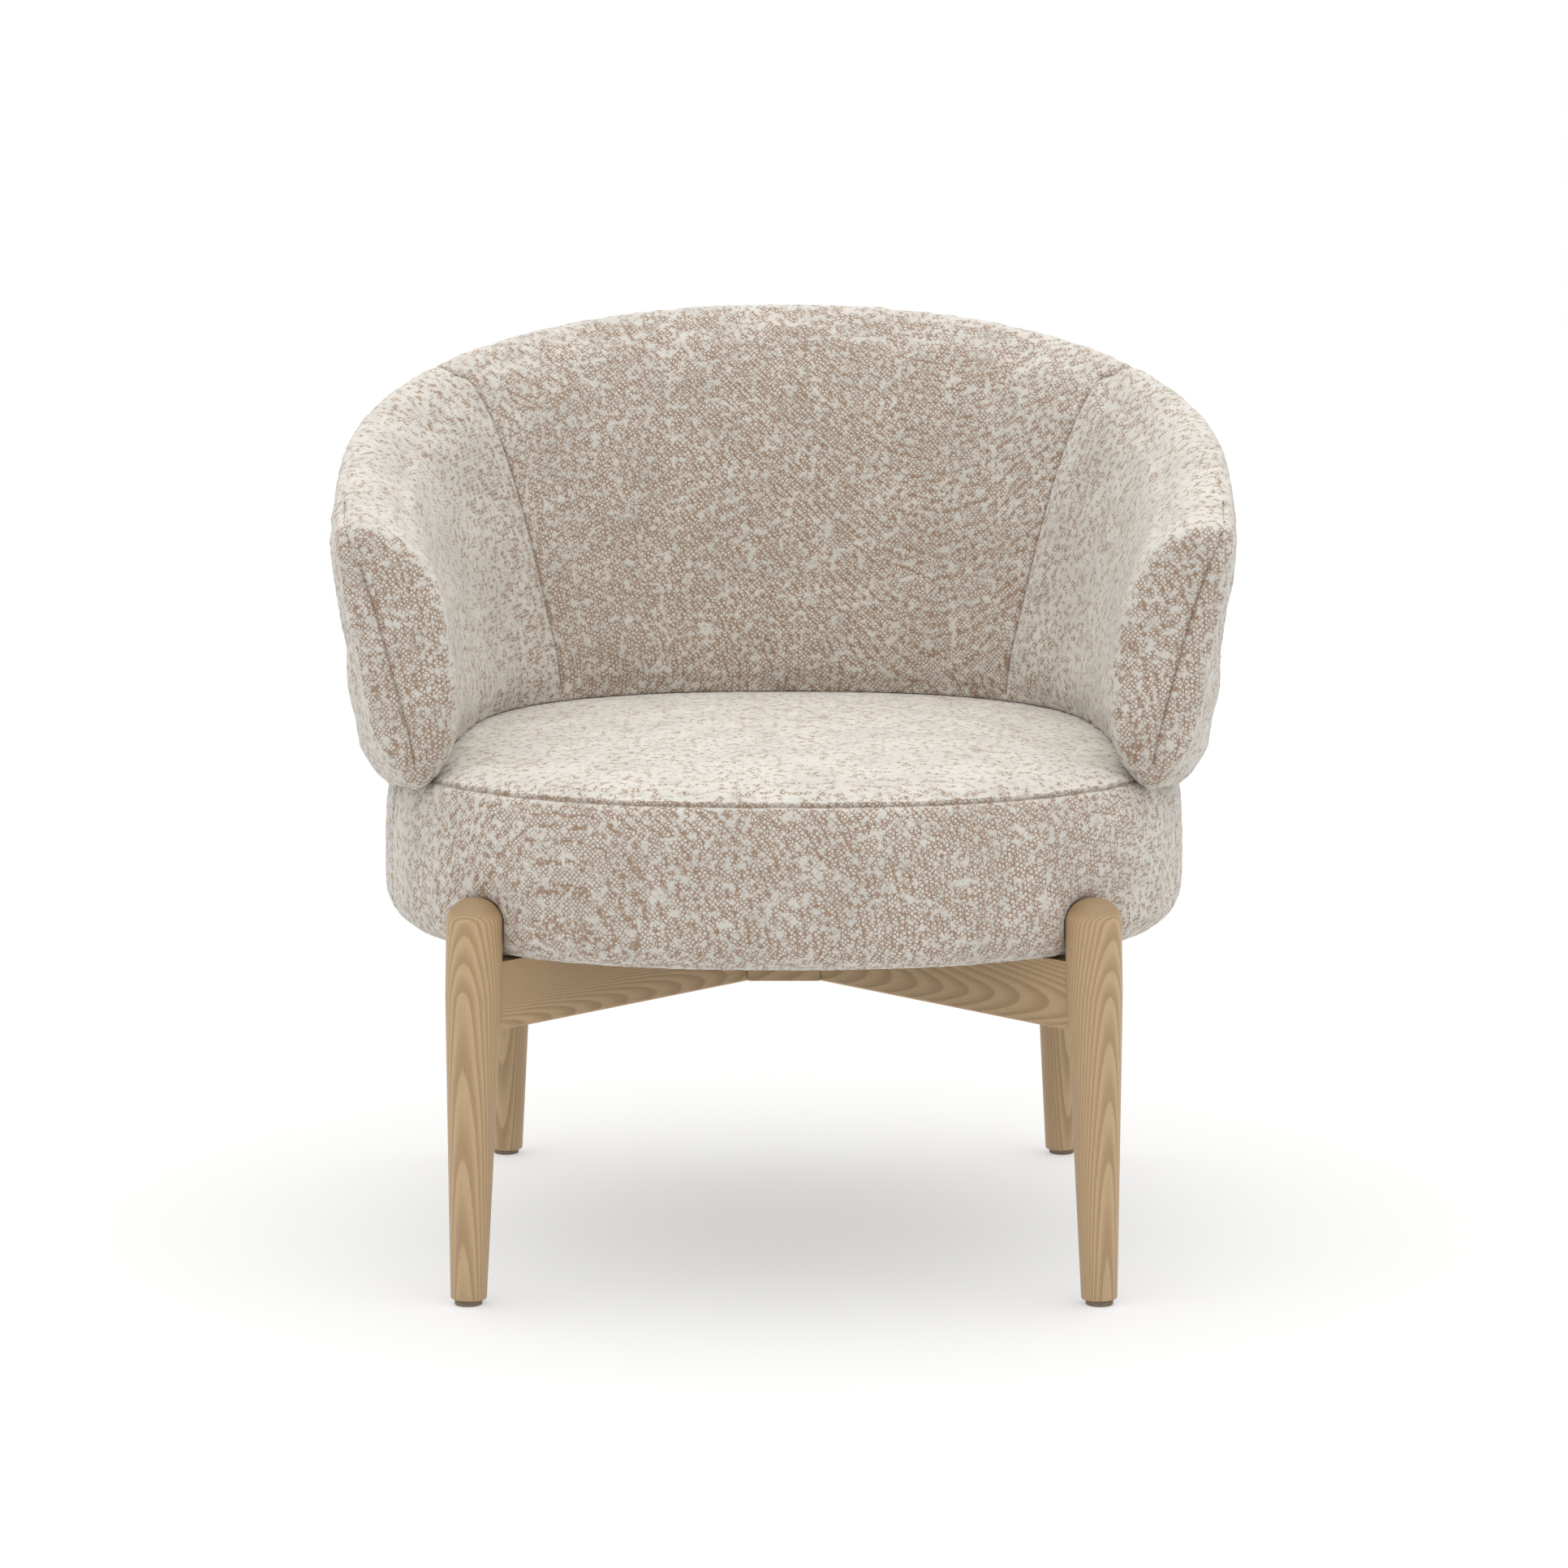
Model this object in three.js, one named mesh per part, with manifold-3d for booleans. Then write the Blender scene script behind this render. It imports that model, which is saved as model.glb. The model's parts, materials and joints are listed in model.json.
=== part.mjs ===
// Upholstered tub armchair on a turned wooden base: every piece is its own closed solid.
// Millimetres, +Z up, the sitter faces -Y. Angles round the chair are counted from the rear, +Y.
import * as THREE from 'three';
import { mergeVertices } from 'three/addons/utils/BufferGeometryUtils.js';
import Module from 'manifold-3d';

const wasm = await Module();
wasm.setup();

// ---------------------------------------------------------------- fits
const GAP = 0.3; // between pieces that touch
const BACK_SEAM_GAP = 0.9; // at the strongly curved seams of the back
const COVER = 1.6; // thickness of the woven cover
const SOFT_GAP = 0.5; // between foam and the hard pieces inside it
const CUT_MARGIN = 1; // how far a cutting shape reaches past the face that it opens
const MERGE_DISTANCE = 1e-4;

// ---------------------------------------------------------------- seat
const SEAT_HALF_WIDTH = 342;
const SEAT_HALF_DEPTH = 325;
const SEAT_CENTRE_Y = 5;
const SEAT_SQUARENESS = 2.4; // exponent of the rounded-square outline, 2 is an ellipse
const SEAT_BOTTOM_Z = 284;
const SEAT_THICKNESS = 140; // from the underside up to the seam
const SEAT_SEAM_Z = SEAT_BOTTOM_Z + SEAT_THICKNESS;
const SEAT_CROWN = 20; // rise of the middle of the seat above the seam
const SEAT_SEAM_INSET = 11;
const SEAT_EDGE_RADIUS = 30; // round lower edge
// How the side closes in towards the seam: [share of the upright height, share of the inset].
const SIDE_CLOSING = [[0.35, 0], [0.65, 0.12], [0.86, 0.5], [1, 1]];
const TOP_REACH = 0.985; // share of the half width that the top's rings reach inward
const TOP_RING_SPREAD = 1.5; // above 1 the rings crowd towards the seam
const CROWN_FULLNESS = 2.6; // the higher, the flatter the middle of the top
const HEM_INSET = 58; // how far the side cover turns under the frame
const SEAT_STEPS = 40; // facets round the seat
const SIDE_SEAM_STEP = 12; // facets from the rear to where the front and rear bands meet

// ---------------------------------------------------------------- seat frame and webbing
const FRAME_INSET = 25;
const FRAME_WIDTH = 75;
const FRAME_THICKNESS = 28;
const FRAME_LIFT = 3; // underside of the frame above the underside of the seat
const STRAP_WIDTH = 60;
const STRAP_THICKNESS = 1.6;
const STRAP_PITCH = 120;
const STRAPS_EACH_WAY = 3;
const STRAP_LANDING = 30; // length of a strap's end that lies on the frame
const STRAP_LEVEL_MARGIN = 2; // a strap stays level this far past the one it crosses
const DUST_COVER_THICKNESS = 1;

// ---------------------------------------------------------------- back and arms
const BACK_CENTRE_Y = -10;
const BACK_OVERHANG = 18; // how far the back stands out past the seat's outline
const SILL_HALF_WIDTH = SEAT_HALF_WIDTH + BACK_OVERHANG; // outer outline at the lower edge
const REAR_OVERHANG = 30;
const SILL_REAR = SEAT_HALF_DEPTH + REAR_OVERHANG;
const SILL_FRONT = SEAT_HALF_DEPTH;
const SILL_SQUARENESS = SEAT_SQUARENESS;
const SILL_DROP = 14; // below the seam
const SILL_Z = SEAT_SEAM_Z - SILL_DROP;
const ARM_FLARE = 19; // how far the walls lean out on their way up, at the sides
const REAR_FLARE = 40; // and at the rear
const CREST_HALF_WIDTH = SILL_HALF_WIDTH + ARM_FLARE; // outer outline at the top edge
const CREST_REAR = SILL_REAR + REAR_FLARE;
const ARM_RUN = 425; // the top edge's outline runs on past the seat: the arms stay straight
const CREST_FRONT = SILL_FRONT + ARM_RUN;
const CREST_SQUARENESS = 2.1;
const BACK_RISE = 259; // height of the top edge above the seam, at the chair's middle
const CREST_Z = SEAT_SEAM_Z + BACK_RISE;
const CREST_SLOPE = 0.262; // the top edge lies in a plane that rises to the rear
const BACK_DROP = 33; // the back's underside lies below the seam, outside the seat
const BACK_BOTTOM_Z = SEAT_SEAM_Z - BACK_DROP;
const ARM_BOTTOM_RISE = 22; // the underside rises to the arm fronts
const ARM_ANGLE_TOP = 114.7; // where the arms end
const ARM_ANGLE_BOTTOM = 117.5;
const SIDEWAYS = 90; // direction of an arm's thickness at its front
const TURN_START = 61; // past this angle the thickness turns sideways
const ARM_END_RADIUS = 13;
const ARM_END_CROWN = 4; // how far the middle of an arm's front stands out
const FOAM_END_CROWN = -2; // the foam inside is slightly hollow there
const FOAM_END_GAP = 1.2; // and ends short of its cover
const END_ROW_REACH = 0.96; // how far the covers of an arm's front reach towards their seam
const BACK_STEPS = 24;
const ARM_SEAM_STEP = 5; // steps from the middle to the seam between back and arm
const SECTION_BLEND_POWER = 4; // how late the rear section turns into the arm's
const UNDERSIDE_RISE_POWER = 6;

// Cross-section of the padding as [inward thickness, height share], from the underside up the
// inner side, over the top and down the outer side: at the rear and at the front of an arm.
const REAR_SECTION = [
  [30, 0], [76, 0.02], [100, 0.11], [94, 0.4], [79, 0.66], [62, 0.84],
  [40, 0.955], [20, 0.998], [6, 0.994], [0, 0.965], [0, 0.5], [0, 0.08],
];
const ARM_SECTION = [
  [22, 0], [42, 0.04], [67, 0.2], [76, 0.4], [79, 0.62], [74, 0.8],
  [56, 0.945], [28, 1], [8, 0.992], [0, 0.94], [0, 0.5], [0, 0.17],
];
const CREST_SEAM_POINT = 9; // section point where inner and outer covers are sewn together
const UNDER_SEAM_POINT = 1;
const SECTION_SPLIT = 2; // steps between two section points

const SHELL_DEPTH = 26; // moulded plywood shell: distance inside the outer surface
const SHELL_THICKNESS = 9;
const SHELL_LIFT = 16; // above the seat's seam
const SHELL_BOTTOM_Z = SEAT_SEAM_Z + SHELL_LIFT;
const SHELL_TOP_MARGIN = 34;
const SHELL_REACH = 0.94; // share of the way round to the arm front
const SHELL_SLOT_GAP = 1.2; // between the shell and the foam moulded round it

// ---------------------------------------------------------------- base
const LEG_ANGLE = 43.6; // direction of a foot from the base's middle, away from the Y axis
const LEG_STAND_OFF = 22.7; // middle of a foot outside the seat's outline
const BASE_SETBACK = 5; // the base stands a little behind the seat's middle
const BASE_CENTRE_Y = SEAT_CENTRE_Y + BASE_SETBACK;
const LEG_LEAN = 8; // how much nearer the middle a leg's top is, along X and along Y
const LEG_OVERLAP = 53; // height of the leg tops above the seat's underside
const LEG_TOP_Z = SEAT_BOTTOM_Z + LEG_OVERLAP;
const LEG_TOP_RADIUS = 23;
const LEG_FOOT_RADIUS = 14.9;
const LEG_DOME = 19; // height of the rounded top
const LEG_SHOULDER = 60; // length of the stretch of full radius below the dome
const LEG_CHAMFER = 1.5;
const GLIDE_RADIUS = 11.4;
const GLIDE_THICKNESS = 4.5;
const GLIDE_EDGE = 1; // chamfer round the underside
const GLIDE_PIN_RADIUS = 4;
const GLIDE_PIN_LENGTH = 12;
const GLIDE_PIN_GAP = 0.8; // the pin stands upright in a leg that leans
const GLIDE_SEAT_GAP = 0.6;
const RAIL_HEIGHT = 57;
const RAIL_THICKNESS = 25;
const RAIL_EDGE = 2; // chamfer along the lower edges
const RAIL_SEAT_GAP = 1; // the side cover's hem lies between rails and frame
const BLOCK_REACH = 52; // from the middle of the crossing to a corner block's outer face
const LEG_SIDES = 20;

// ---------------------------------------------------------------- fasteners
const LEG_BOLT_RADIUS = 4;
const LEG_BOLT_LENGTH = 78;
const LEG_BOLT_IN_LEG = 26;
const BARREL_RADIUS = 6;
const BARREL_LENGTH = 18;
const BARREL_SHIFT = 2; // towards the rail's rear face, which alone is bored
const BARREL_FROM_END = 42;
const SEAT_SCREW_RADIUS = 2.5;
const SEAT_SCREW_HEAD_RADIUS = 5;
const SEAT_SCREW_HEAD = 3.5;
const SEAT_SCREW_BITE = 20; // length inside the seat frame
const SEAT_SCREW_SINK = 27; // depth of the counterbore in the rail
const SEAT_SCREW_FROM_BOLT = 22; // from a screw to the inner end of the leg bolt
const BRACKET_WIDTH = 32;
const BRACKET_THICKNESS = 4;
const BRACKET_ANGLES = { rear: 0, right: 90, left: -90 };
const BRACKET_CLEARANCE = 2.2; // to the curved faces that it is bolted to
const BRACKET_OVERLAP = 80; // height of a bracket on the shell
const BRACKET_TOP_Z = SHELL_BOTTOM_Z + BRACKET_OVERLAP;
const BRACKET_BEND_DROP = 8; // the upper bend lies below the shell's edge
const BRACKET_BEND_Z = SHELL_BOTTOM_Z - BRACKET_BEND_DROP;
const BRACKET_JOG = 40; // height of the slanted stretch between the two bends
const BRACKET_FOOT_LIFT = 2; // above the underside of the frame
const SHELL_BOLT_RISE = 48; // above the shell's lower edge
const SHELL_BOLT_Z = SHELL_BOTTOM_Z + SHELL_BOLT_RISE;
const FRAME_BOLT_RISE = 15; // above the underside of the frame
const FRAME_BOLT_Z = SEAT_BOTTOM_Z + FRAME_LIFT + FRAME_BOLT_RISE;
const BRACKET_BOLT_RADIUS = 3;
const BRACKET_BOLT_HEAD_RADIUS = 6;
const BRACKET_BOLT_HEAD = 3.5;
const SHELL_BOLT_BITE = 8;
const FRAME_BOLT_BITE = 22;
const BOLT_SIDES = 8;

const finishes = {
  boucle: new THREE.MeshStandardMaterial({ color: 0xd8d0c4, roughness: 0.95, metalness: 0 }),
  ash: new THREE.MeshStandardMaterial({ color: 0xc9a778, roughness: 0.55, metalness: 0 }),
  plywood: new THREE.MeshStandardMaterial({ color: 0xc8ac82, roughness: 0.7, metalness: 0 }),
  foam: new THREE.MeshStandardMaterial({ color: 0xe9e2cf, roughness: 0.9, metalness: 0 }),
  webbing: new THREE.MeshStandardMaterial({ color: 0x4a4640, roughness: 0.8, metalness: 0 }),
  lining: new THREE.MeshStandardMaterial({ color: 0x2b2a29, roughness: 0.9, metalness: 0 }),
  steel: new THREE.MeshStandardMaterial({ color: 0x9a9c9e, roughness: 0.4, metalness: 1 }),
  glide: new THREE.MeshStandardMaterial({ color: 0x8c857b, roughness: 0.6, metalness: 0 }),
};

const chair = new THREE.Group();
const radians = THREE.MathUtils.degToRad;

function addPiece(name, geometry, finish) {
  const mesh = new THREE.Mesh(geometry, finishes[finish].clone());
  mesh.name = name;
  chair.add(mesh);
  return mesh;
}

// ---------------------------------------------------------------- solids
function toSolid(geometry) {
  const bare = geometry.clone();
  bare.deleteAttribute('normal');
  bare.deleteAttribute('uv');
  const merged = mergeVertices(bare, MERGE_DISTANCE);
  const source = merged.index.array;
  const triangles = [];
  for (let i = 0; i < source.length; i += 3) {
    const [a, b, c] = [source[i], source[i + 1], source[i + 2]];
    if (a !== b && b !== c && c !== a) triangles.push(a, b, c);
  }
  const vertProperties = new Float32Array(merged.attributes.position.array);
  const solid = new wasm.Manifold(
    new wasm.Mesh({ numProp: 3, vertProperties, triVerts: new Uint32Array(triangles) }));
  return solid;
}

function toGeometry(solid) {
  const mesh = solid.getMesh();
  const geometry = new THREE.BufferGeometry();
  geometry.setAttribute('position',
    new THREE.BufferAttribute(new Float32Array(mesh.vertProperties), 3));
  geometry.setIndex(new THREE.BufferAttribute(new Uint32Array(mesh.triVerts), 1));
  geometry.computeVertexNormals();
  return geometry;
}

function cut(geometry, ...tools) {
  let solid = toSolid(geometry);
  for (const tool of tools) solid = solid.subtract(toSolid(tool));
  return toGeometry(solid);
}

// A closed geometry from points and triangles, turned so that its faces point out.
function closedGeometry(points, triangles) {
  let volume = 0;
  for (let i = 0; i < triangles.length; i += 3) {
    const [a, b, c] = [0, 1, 2].map((k) => points[triangles[i + k]]);
    volume += a.dot(new THREE.Vector3().crossVectors(b, c));
  }
  const geometry = new THREE.BufferGeometry().setFromPoints(points);
  geometry.setIndex(volume > 0 ? triangles : triangles.reverse());
  geometry.computeVertexNormals();
  return geometry;
}

// A solid through closed loops of equally many points, with a point at each end.
function loft(loops, firstTip, lastTip) {
  const points = [firstTip, ...loops.flat(), lastTip];
  const count = loops[0].length;
  const triangles = [];
  for (let j = 0; j < count; j++) {
    const k = (j + 1) % count;
    triangles.push(0, 1 + k, 1 + j);
    for (let i = 0; i < loops.length - 1; i++) {
      const low = 1 + i * count;
      const high = low + count;
      triangles.push(low + j, low + k, high + k, low + j, high + k, high + j);
    }
    const last = 1 + (loops.length - 1) * count;
    triangles.push(last + j, last + k, points.length - 1);
  }
  return closedGeometry(points, triangles);
}

// A sheet with thickness between two grids of equal size.
function panel(outer, inner) {
  const rows = outer.length;
  const columns = outer[0].length;
  const points = [...outer.flat(), ...inner.flat()];
  const at = (side, row, column) => side * rows * columns + row * columns + column;
  const triangles = [];
  const quad = (a, b, c, d) => triangles.push(a, b, c, a, c, d);
  for (let r = 0; r < rows - 1; r++) {
    for (let c = 0; c < columns - 1; c++) {
      quad(at(0, r, c), at(0, r, c + 1), at(0, r + 1, c + 1), at(0, r + 1, c));
      quad(at(1, r, c), at(1, r + 1, c), at(1, r + 1, c + 1), at(1, r, c + 1));
    }
    quad(at(0, r, 0), at(0, r + 1, 0), at(1, r + 1, 0), at(1, r, 0));
    quad(at(0, r + 1, columns - 1), at(0, r, columns - 1),
      at(1, r, columns - 1), at(1, r + 1, columns - 1));
  }
  for (let c = 0; c < columns - 1; c++) {
    quad(at(0, 0, c + 1), at(0, 0, c), at(1, 0, c), at(1, 0, c + 1));
    quad(at(0, rows - 1, c), at(0, rows - 1, c + 1),
      at(1, rows - 1, c + 1), at(1, rows - 1, c));
  }
  return closedGeometry(points, triangles);
}

// Draws a grid's edges in by the gap that neighbouring sheets keep at a seam.
function drawEdges(grid, gap) {
  const pull = (point, towards) => {
    const step = new THREE.Vector3().subVectors(towards, point).setLength(gap);
    return point.clone().add(step);
  };
  const last = grid.length - 1;
  const rows = grid.map((row, r) => {
    if (r === 0) return row.map((point, c) => pull(point, grid[1][c]));
    return r === last ? row.map((point, c) => pull(point, grid[last - 1][c])) : row;
  });
  return rows.map((row) => row.map((point, c) => {
    if (c === 0) return pull(point, row[1]);
    return c === row.length - 1 ? pull(point, row[c - 1]) : point;
  }));
}

// Moves each point of a line sideways, to the left of its direction of travel.
function offsetLine(line, distance, closed) {
  const count = line.length;
  return line.map((point, i) => {
    const before = closed ? line[(i + count - 1) % count] : line[Math.max(i - 1, 0)];
    const after = closed ? line[(i + 1) % count] : line[Math.min(i + 1, count - 1)];
    const along = new THREE.Vector2().subVectors(after, before).normalize();
    return new THREE.Vector2(point.x - along.y * distance, point.y + along.x * distance);
  });
}

// Radius of a rounded-square outline in the direction of an angle from the rear.
function outlineRadius(angle, halfWidth, depth, squareness) {
  const across = Math.abs(Math.sin(angle)) / halfWidth;
  const along = Math.abs(Math.cos(angle)) / depth;
  return (across ** squareness + along ** squareness) ** (-1 / squareness);
}

function turned(profile, sides) {
  const geometry = new THREE.LatheGeometry(profile.map(([r, z]) => new THREE.Vector2(r, z)), sides);
  return geometry.rotateX(Math.PI / 2);
}

// ---------------------------------------------------------------- base
// A leg or its clearance: a turned taper with a rounded top and a hole for the glide's pin.
function legBlank(extra) {
  const shoulderZ = LEG_TOP_Z - LEG_DOME;
  const top = LEG_TOP_RADIUS + extra;
  const footZ = GLIDE_THICKNESS + GLIDE_SEAT_GAP;
  const profile = [
    [0, footZ - extra],
    [LEG_FOOT_RADIUS - LEG_CHAMFER + extra, footZ - extra],
    [LEG_FOOT_RADIUS + extra, footZ + LEG_CHAMFER],
    [top, shoulderZ - LEG_SHOULDER],
    [top, shoulderZ],
  ];
  const domeSteps = 4;
  for (let i = 1; i <= domeSteps; i++) {
    const turn = (Math.PI / 2) * (i / domeSteps);
    const radius = i === domeSteps ? 0 : top * Math.cos(turn);
    profile.push([radius, shoulderZ + (LEG_DOME + extra) * Math.sin(turn)]);
  }
  return turned(profile, LEG_SIDES);
}

const glideProfile = [
  [0, 0], [GLIDE_RADIUS - GLIDE_EDGE, 0], [GLIDE_RADIUS, GLIDE_EDGE],
  [GLIDE_RADIUS, GLIDE_THICKNESS],
  [GLIDE_PIN_RADIUS, GLIDE_THICKNESS], [GLIDE_PIN_RADIUS, GLIDE_THICKNESS + GLIDE_PIN_LENGTH],
  [0, GLIDE_THICKNESS + GLIDE_PIN_LENGTH],
];
const glideHole = turned([
  [0, 0], [GLIDE_PIN_RADIUS + GLIDE_PIN_GAP, 0],
  [GLIDE_PIN_RADIUS + GLIDE_PIN_GAP, GLIDE_THICKNESS + GLIDE_PIN_LENGTH + GLIDE_PIN_GAP],
  [0, GLIDE_THICKNESS + GLIDE_PIN_LENGTH + GLIDE_PIN_GAP],
], LEG_SIDES);

const footAngle = radians(LEG_ANGLE);
const footReach = LEG_STAND_OFF
  + outlineRadius(footAngle, SEAT_HALF_WIDTH, SEAT_HALF_DEPTH, SEAT_SQUARENESS);
const footAcross = footReach * Math.sin(footAngle);
const footAlong = footReach * Math.cos(footAngle);
const legPlaces = {};
for (const [depthName, depthSign] of [['front', -1], ['rear', 1]]) {
  for (const [sideName, sideSign] of [['left', -1], ['right', 1]]) {
    const foot = new THREE.Vector3(
      sideSign * footAcross, BASE_CENTRE_Y + depthSign * footAlong, 0);
    const lean = new THREE.Vector3(-sideSign * LEG_LEAN, -depthSign * LEG_LEAN, LEG_TOP_Z);
    const upright = new THREE.Vector3(0, 0, 1);
    const turn = new THREE.Quaternion().setFromUnitVectors(upright, lean.normalize());
    const matrix = new THREE.Matrix4().compose(foot, turn, new THREE.Vector3(1, 1, 1));
    legPlaces[`${depthName}_${sideName}`] = { foot, turn, matrix };
  }
}
const legClearances = Object.values(legPlaces).map(
  ({ matrix }) => legBlank(SOFT_GAP).applyMatrix4(matrix));
const legFits = Object.values(legPlaces).map(({ matrix }) => legBlank(GAP).applyMatrix4(matrix));

// Rails run corner to corner. Each has its own frame: X along the rail, Z up from its underside.
const railBottomZ = SEAT_BOTTOM_Z - RAIL_SEAT_GAP - RAIL_HEIGHT;
const legTurnAt = (height) => 1 - (LEG_LEAN / LEG_TOP_Z) * height / footAcross;
const railReach = footReach * legTurnAt(railBottomZ);
const railAngle = Math.PI / 2 - footAngle;

function railMatrix(sign) {
  return new THREE.Matrix4().makeRotationZ(sign * railAngle)
    .setPosition(0, BASE_CENTRE_Y, railBottomZ);
}

function boltHole(radius, length) {
  return new THREE.CylinderGeometry(radius, radius, length, BOLT_SIDES);
}

const boltBore = () => boltHole(LEG_BOLT_RADIUS + GAP, LEG_BOLT_LENGTH + 2 * CUT_MARGIN);

// The bolt's axis lies along the rail at half its height, from inside the rail into the leg.
const boltCentre = railReach + LEG_BOLT_IN_LEG - LEG_TOP_RADIUS - LEG_BOLT_LENGTH / 2;
const barrelCentre = railReach - LEG_TOP_RADIUS - BARREL_FROM_END;
const seatScrewReach = boltCentre - LEG_BOLT_LENGTH / 2 - SEAT_SCREW_FROM_BOLT;

function alongRail(geometry, x) {
  return geometry.rotateZ(Math.PI / 2).translate(x, 0, RAIL_HEIGHT / 2);
}

function seatScrew(extra) {
  const start = SEAT_SCREW_SINK;
  const end = RAIL_HEIGHT + RAIL_SEAT_GAP + FRAME_LIFT + SEAT_SCREW_BITE;
  return turned([
    [0, start - SEAT_SCREW_HEAD], [SEAT_SCREW_HEAD_RADIUS + extra, start - SEAT_SCREW_HEAD],
    [SEAT_SCREW_HEAD_RADIUS + extra, start], [SEAT_SCREW_RADIUS + extra, start],
    [SEAT_SCREW_RADIUS + extra, end + extra], [0, end + extra],
  ], BOLT_SIDES);
}

function seatScrewHole() {
  return turned([
    [0, -CUT_MARGIN], [SEAT_SCREW_HEAD_RADIUS + GAP, -CUT_MARGIN],
    [SEAT_SCREW_HEAD_RADIUS + GAP, SEAT_SCREW_SINK + GAP],
    [SEAT_SCREW_RADIUS + GAP, SEAT_SCREW_SINK + GAP],
    [SEAT_SCREW_RADIUS + GAP, RAIL_HEIGHT + CUT_MARGIN],
    [0, RAIL_HEIGHT + CUT_MARGIN],
  ], BOLT_SIDES);
}

const railOutline = new THREE.Shape([
  [-RAIL_THICKNESS / 2 + RAIL_EDGE, 0], [RAIL_THICKNESS / 2 - RAIL_EDGE, 0],
  [RAIL_THICKNESS / 2, RAIL_EDGE], [RAIL_THICKNESS / 2, RAIL_HEIGHT],
  [-RAIL_THICKNESS / 2, RAIL_HEIGHT], [-RAIL_THICKNESS / 2, RAIL_EDGE],
].map(([x, z]) => new THREE.Vector2(x, z)));

function railGeometry(sign, lapFromTop) {
  const bar = new THREE.ExtrudeGeometry(railOutline, { depth: railReach * 2, bevelEnabled: false });
  bar.rotateX(Math.PI / 2).rotateZ(Math.PI / 2).translate(-railReach, 0, 0);
  // The lap's walls follow the other rail, which crosses at twice the rail angle.
  const lap = new THREE.BoxGeometry(railReach, RAIL_THICKNESS + 2 * GAP, RAIL_HEIGHT);
  lap.rotateZ(-2 * sign * railAngle);
  lap.translate(0, 0, lapFromTop ? RAIL_HEIGHT - GAP / 2 : GAP / 2);
  const tools = [lap];
  for (const end of [-1, 1]) {
    tools.push(alongRail(boltBore(), end * (boltCentre + CUT_MARGIN)));
    const boreShift = BARREL_SHIFT - GAP + (RAIL_THICKNESS - BARREL_LENGTH) / 2;
    tools.push(boltHole(BARREL_RADIUS + GAP, RAIL_THICKNESS)
      .translate(end * barrelCentre, boreShift, RAIL_HEIGHT / 2));
    tools.push(seatScrewHole().translate(end * seatScrewReach, 0, 0));
  }
  const matrix = railMatrix(sign);
  const placed = tools.map((tool) => tool.applyMatrix4(matrix));
  return cut(bar.applyMatrix4(matrix), ...placed, ...legFits);
}

const legBoltHoles = [];
for (const [railName, sign, lapFromTop] of [['lower', 1, true], ['upper', -1, false]]) {
  addPiece(`cross_rail_${railName}`, railGeometry(sign, lapFromTop), 'ash');
  for (const end of [-1, 1]) {
    const depthName = end * sign > 0 ? 'rear' : 'front';
    const corner = `${depthName}_${end > 0 ? 'right' : 'left'}`;
    const matrix = railMatrix(sign);
    const bolt = alongRail(boltHole(LEG_BOLT_RADIUS, LEG_BOLT_LENGTH), end * boltCentre);
    const barrel = boltHole(BARREL_RADIUS, BARREL_LENGTH)
      .translate(end * barrelCentre, BARREL_SHIFT, RAIL_HEIGHT / 2);
    const barrelBore = alongRail(boltBore(), end * (boltCentre + CUT_MARGIN));
    const screw = seatScrew(0).translate(end * seatScrewReach, 0, 0);
    const legBore = alongRail(boltBore(), end * (boltCentre + GAP));
    legBoltHoles.push(legBore.applyMatrix4(matrix));
    addPiece(`leg_bolt_${corner}`, bolt.applyMatrix4(matrix), 'steel');
    addPiece(`barrel_nut_${corner}`, cut(barrel, barrelBore).applyMatrix4(matrix), 'steel');
    addPiece(`seat_screw_${corner}`, screw.applyMatrix4(matrix), 'steel');
  }
}

for (const [corner, { foot, turn, matrix }] of Object.entries(legPlaces)) {
  const toLeg = matrix.clone().invert();
  const bores = legBoltHoles.map((bore) => bore.clone().applyMatrix4(toLeg));
  const leg = addPiece(`leg_${corner}`, cut(legBlank(0), glideHole, ...bores), 'ash');
  const glide = addPiece(`glide_${corner}`, turned(glideProfile, LEG_SIDES), 'glide');
  leg.position.copy(foot);
  leg.quaternion.copy(turn);
  glide.position.copy(foot);
}

// Corner blocks fill the four angles of the crossing and stand clear of the rails by a gap.
const railNormalReach = RAIL_THICKNESS / 2 + GAP;
for (const [blockName, direction] of [['front', -90], ['rear', 90], ['right', 0], ['left', 180]]) {
  const facing = direction % 180 === 0 ? railAngle : Math.PI / 2 - railAngle;
  const apex = railNormalReach / Math.sin(facing);
  const halfFace = (BLOCK_REACH - apex) * Math.tan(facing);
  const outline = new THREE.Shape([
    new THREE.Vector2(apex, 0), new THREE.Vector2(BLOCK_REACH, -halfFace),
    new THREE.Vector2(BLOCK_REACH, halfFace),
  ]);
  const block = new THREE.ExtrudeGeometry(outline, { depth: RAIL_HEIGHT, bevelEnabled: false });
  const mesh = addPiece(`corner_block_${blockName}`, block, 'ash');
  mesh.position.set(0, BASE_CENTRE_Y, railBottomZ);
  mesh.rotation.z = radians(direction);
}

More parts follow.
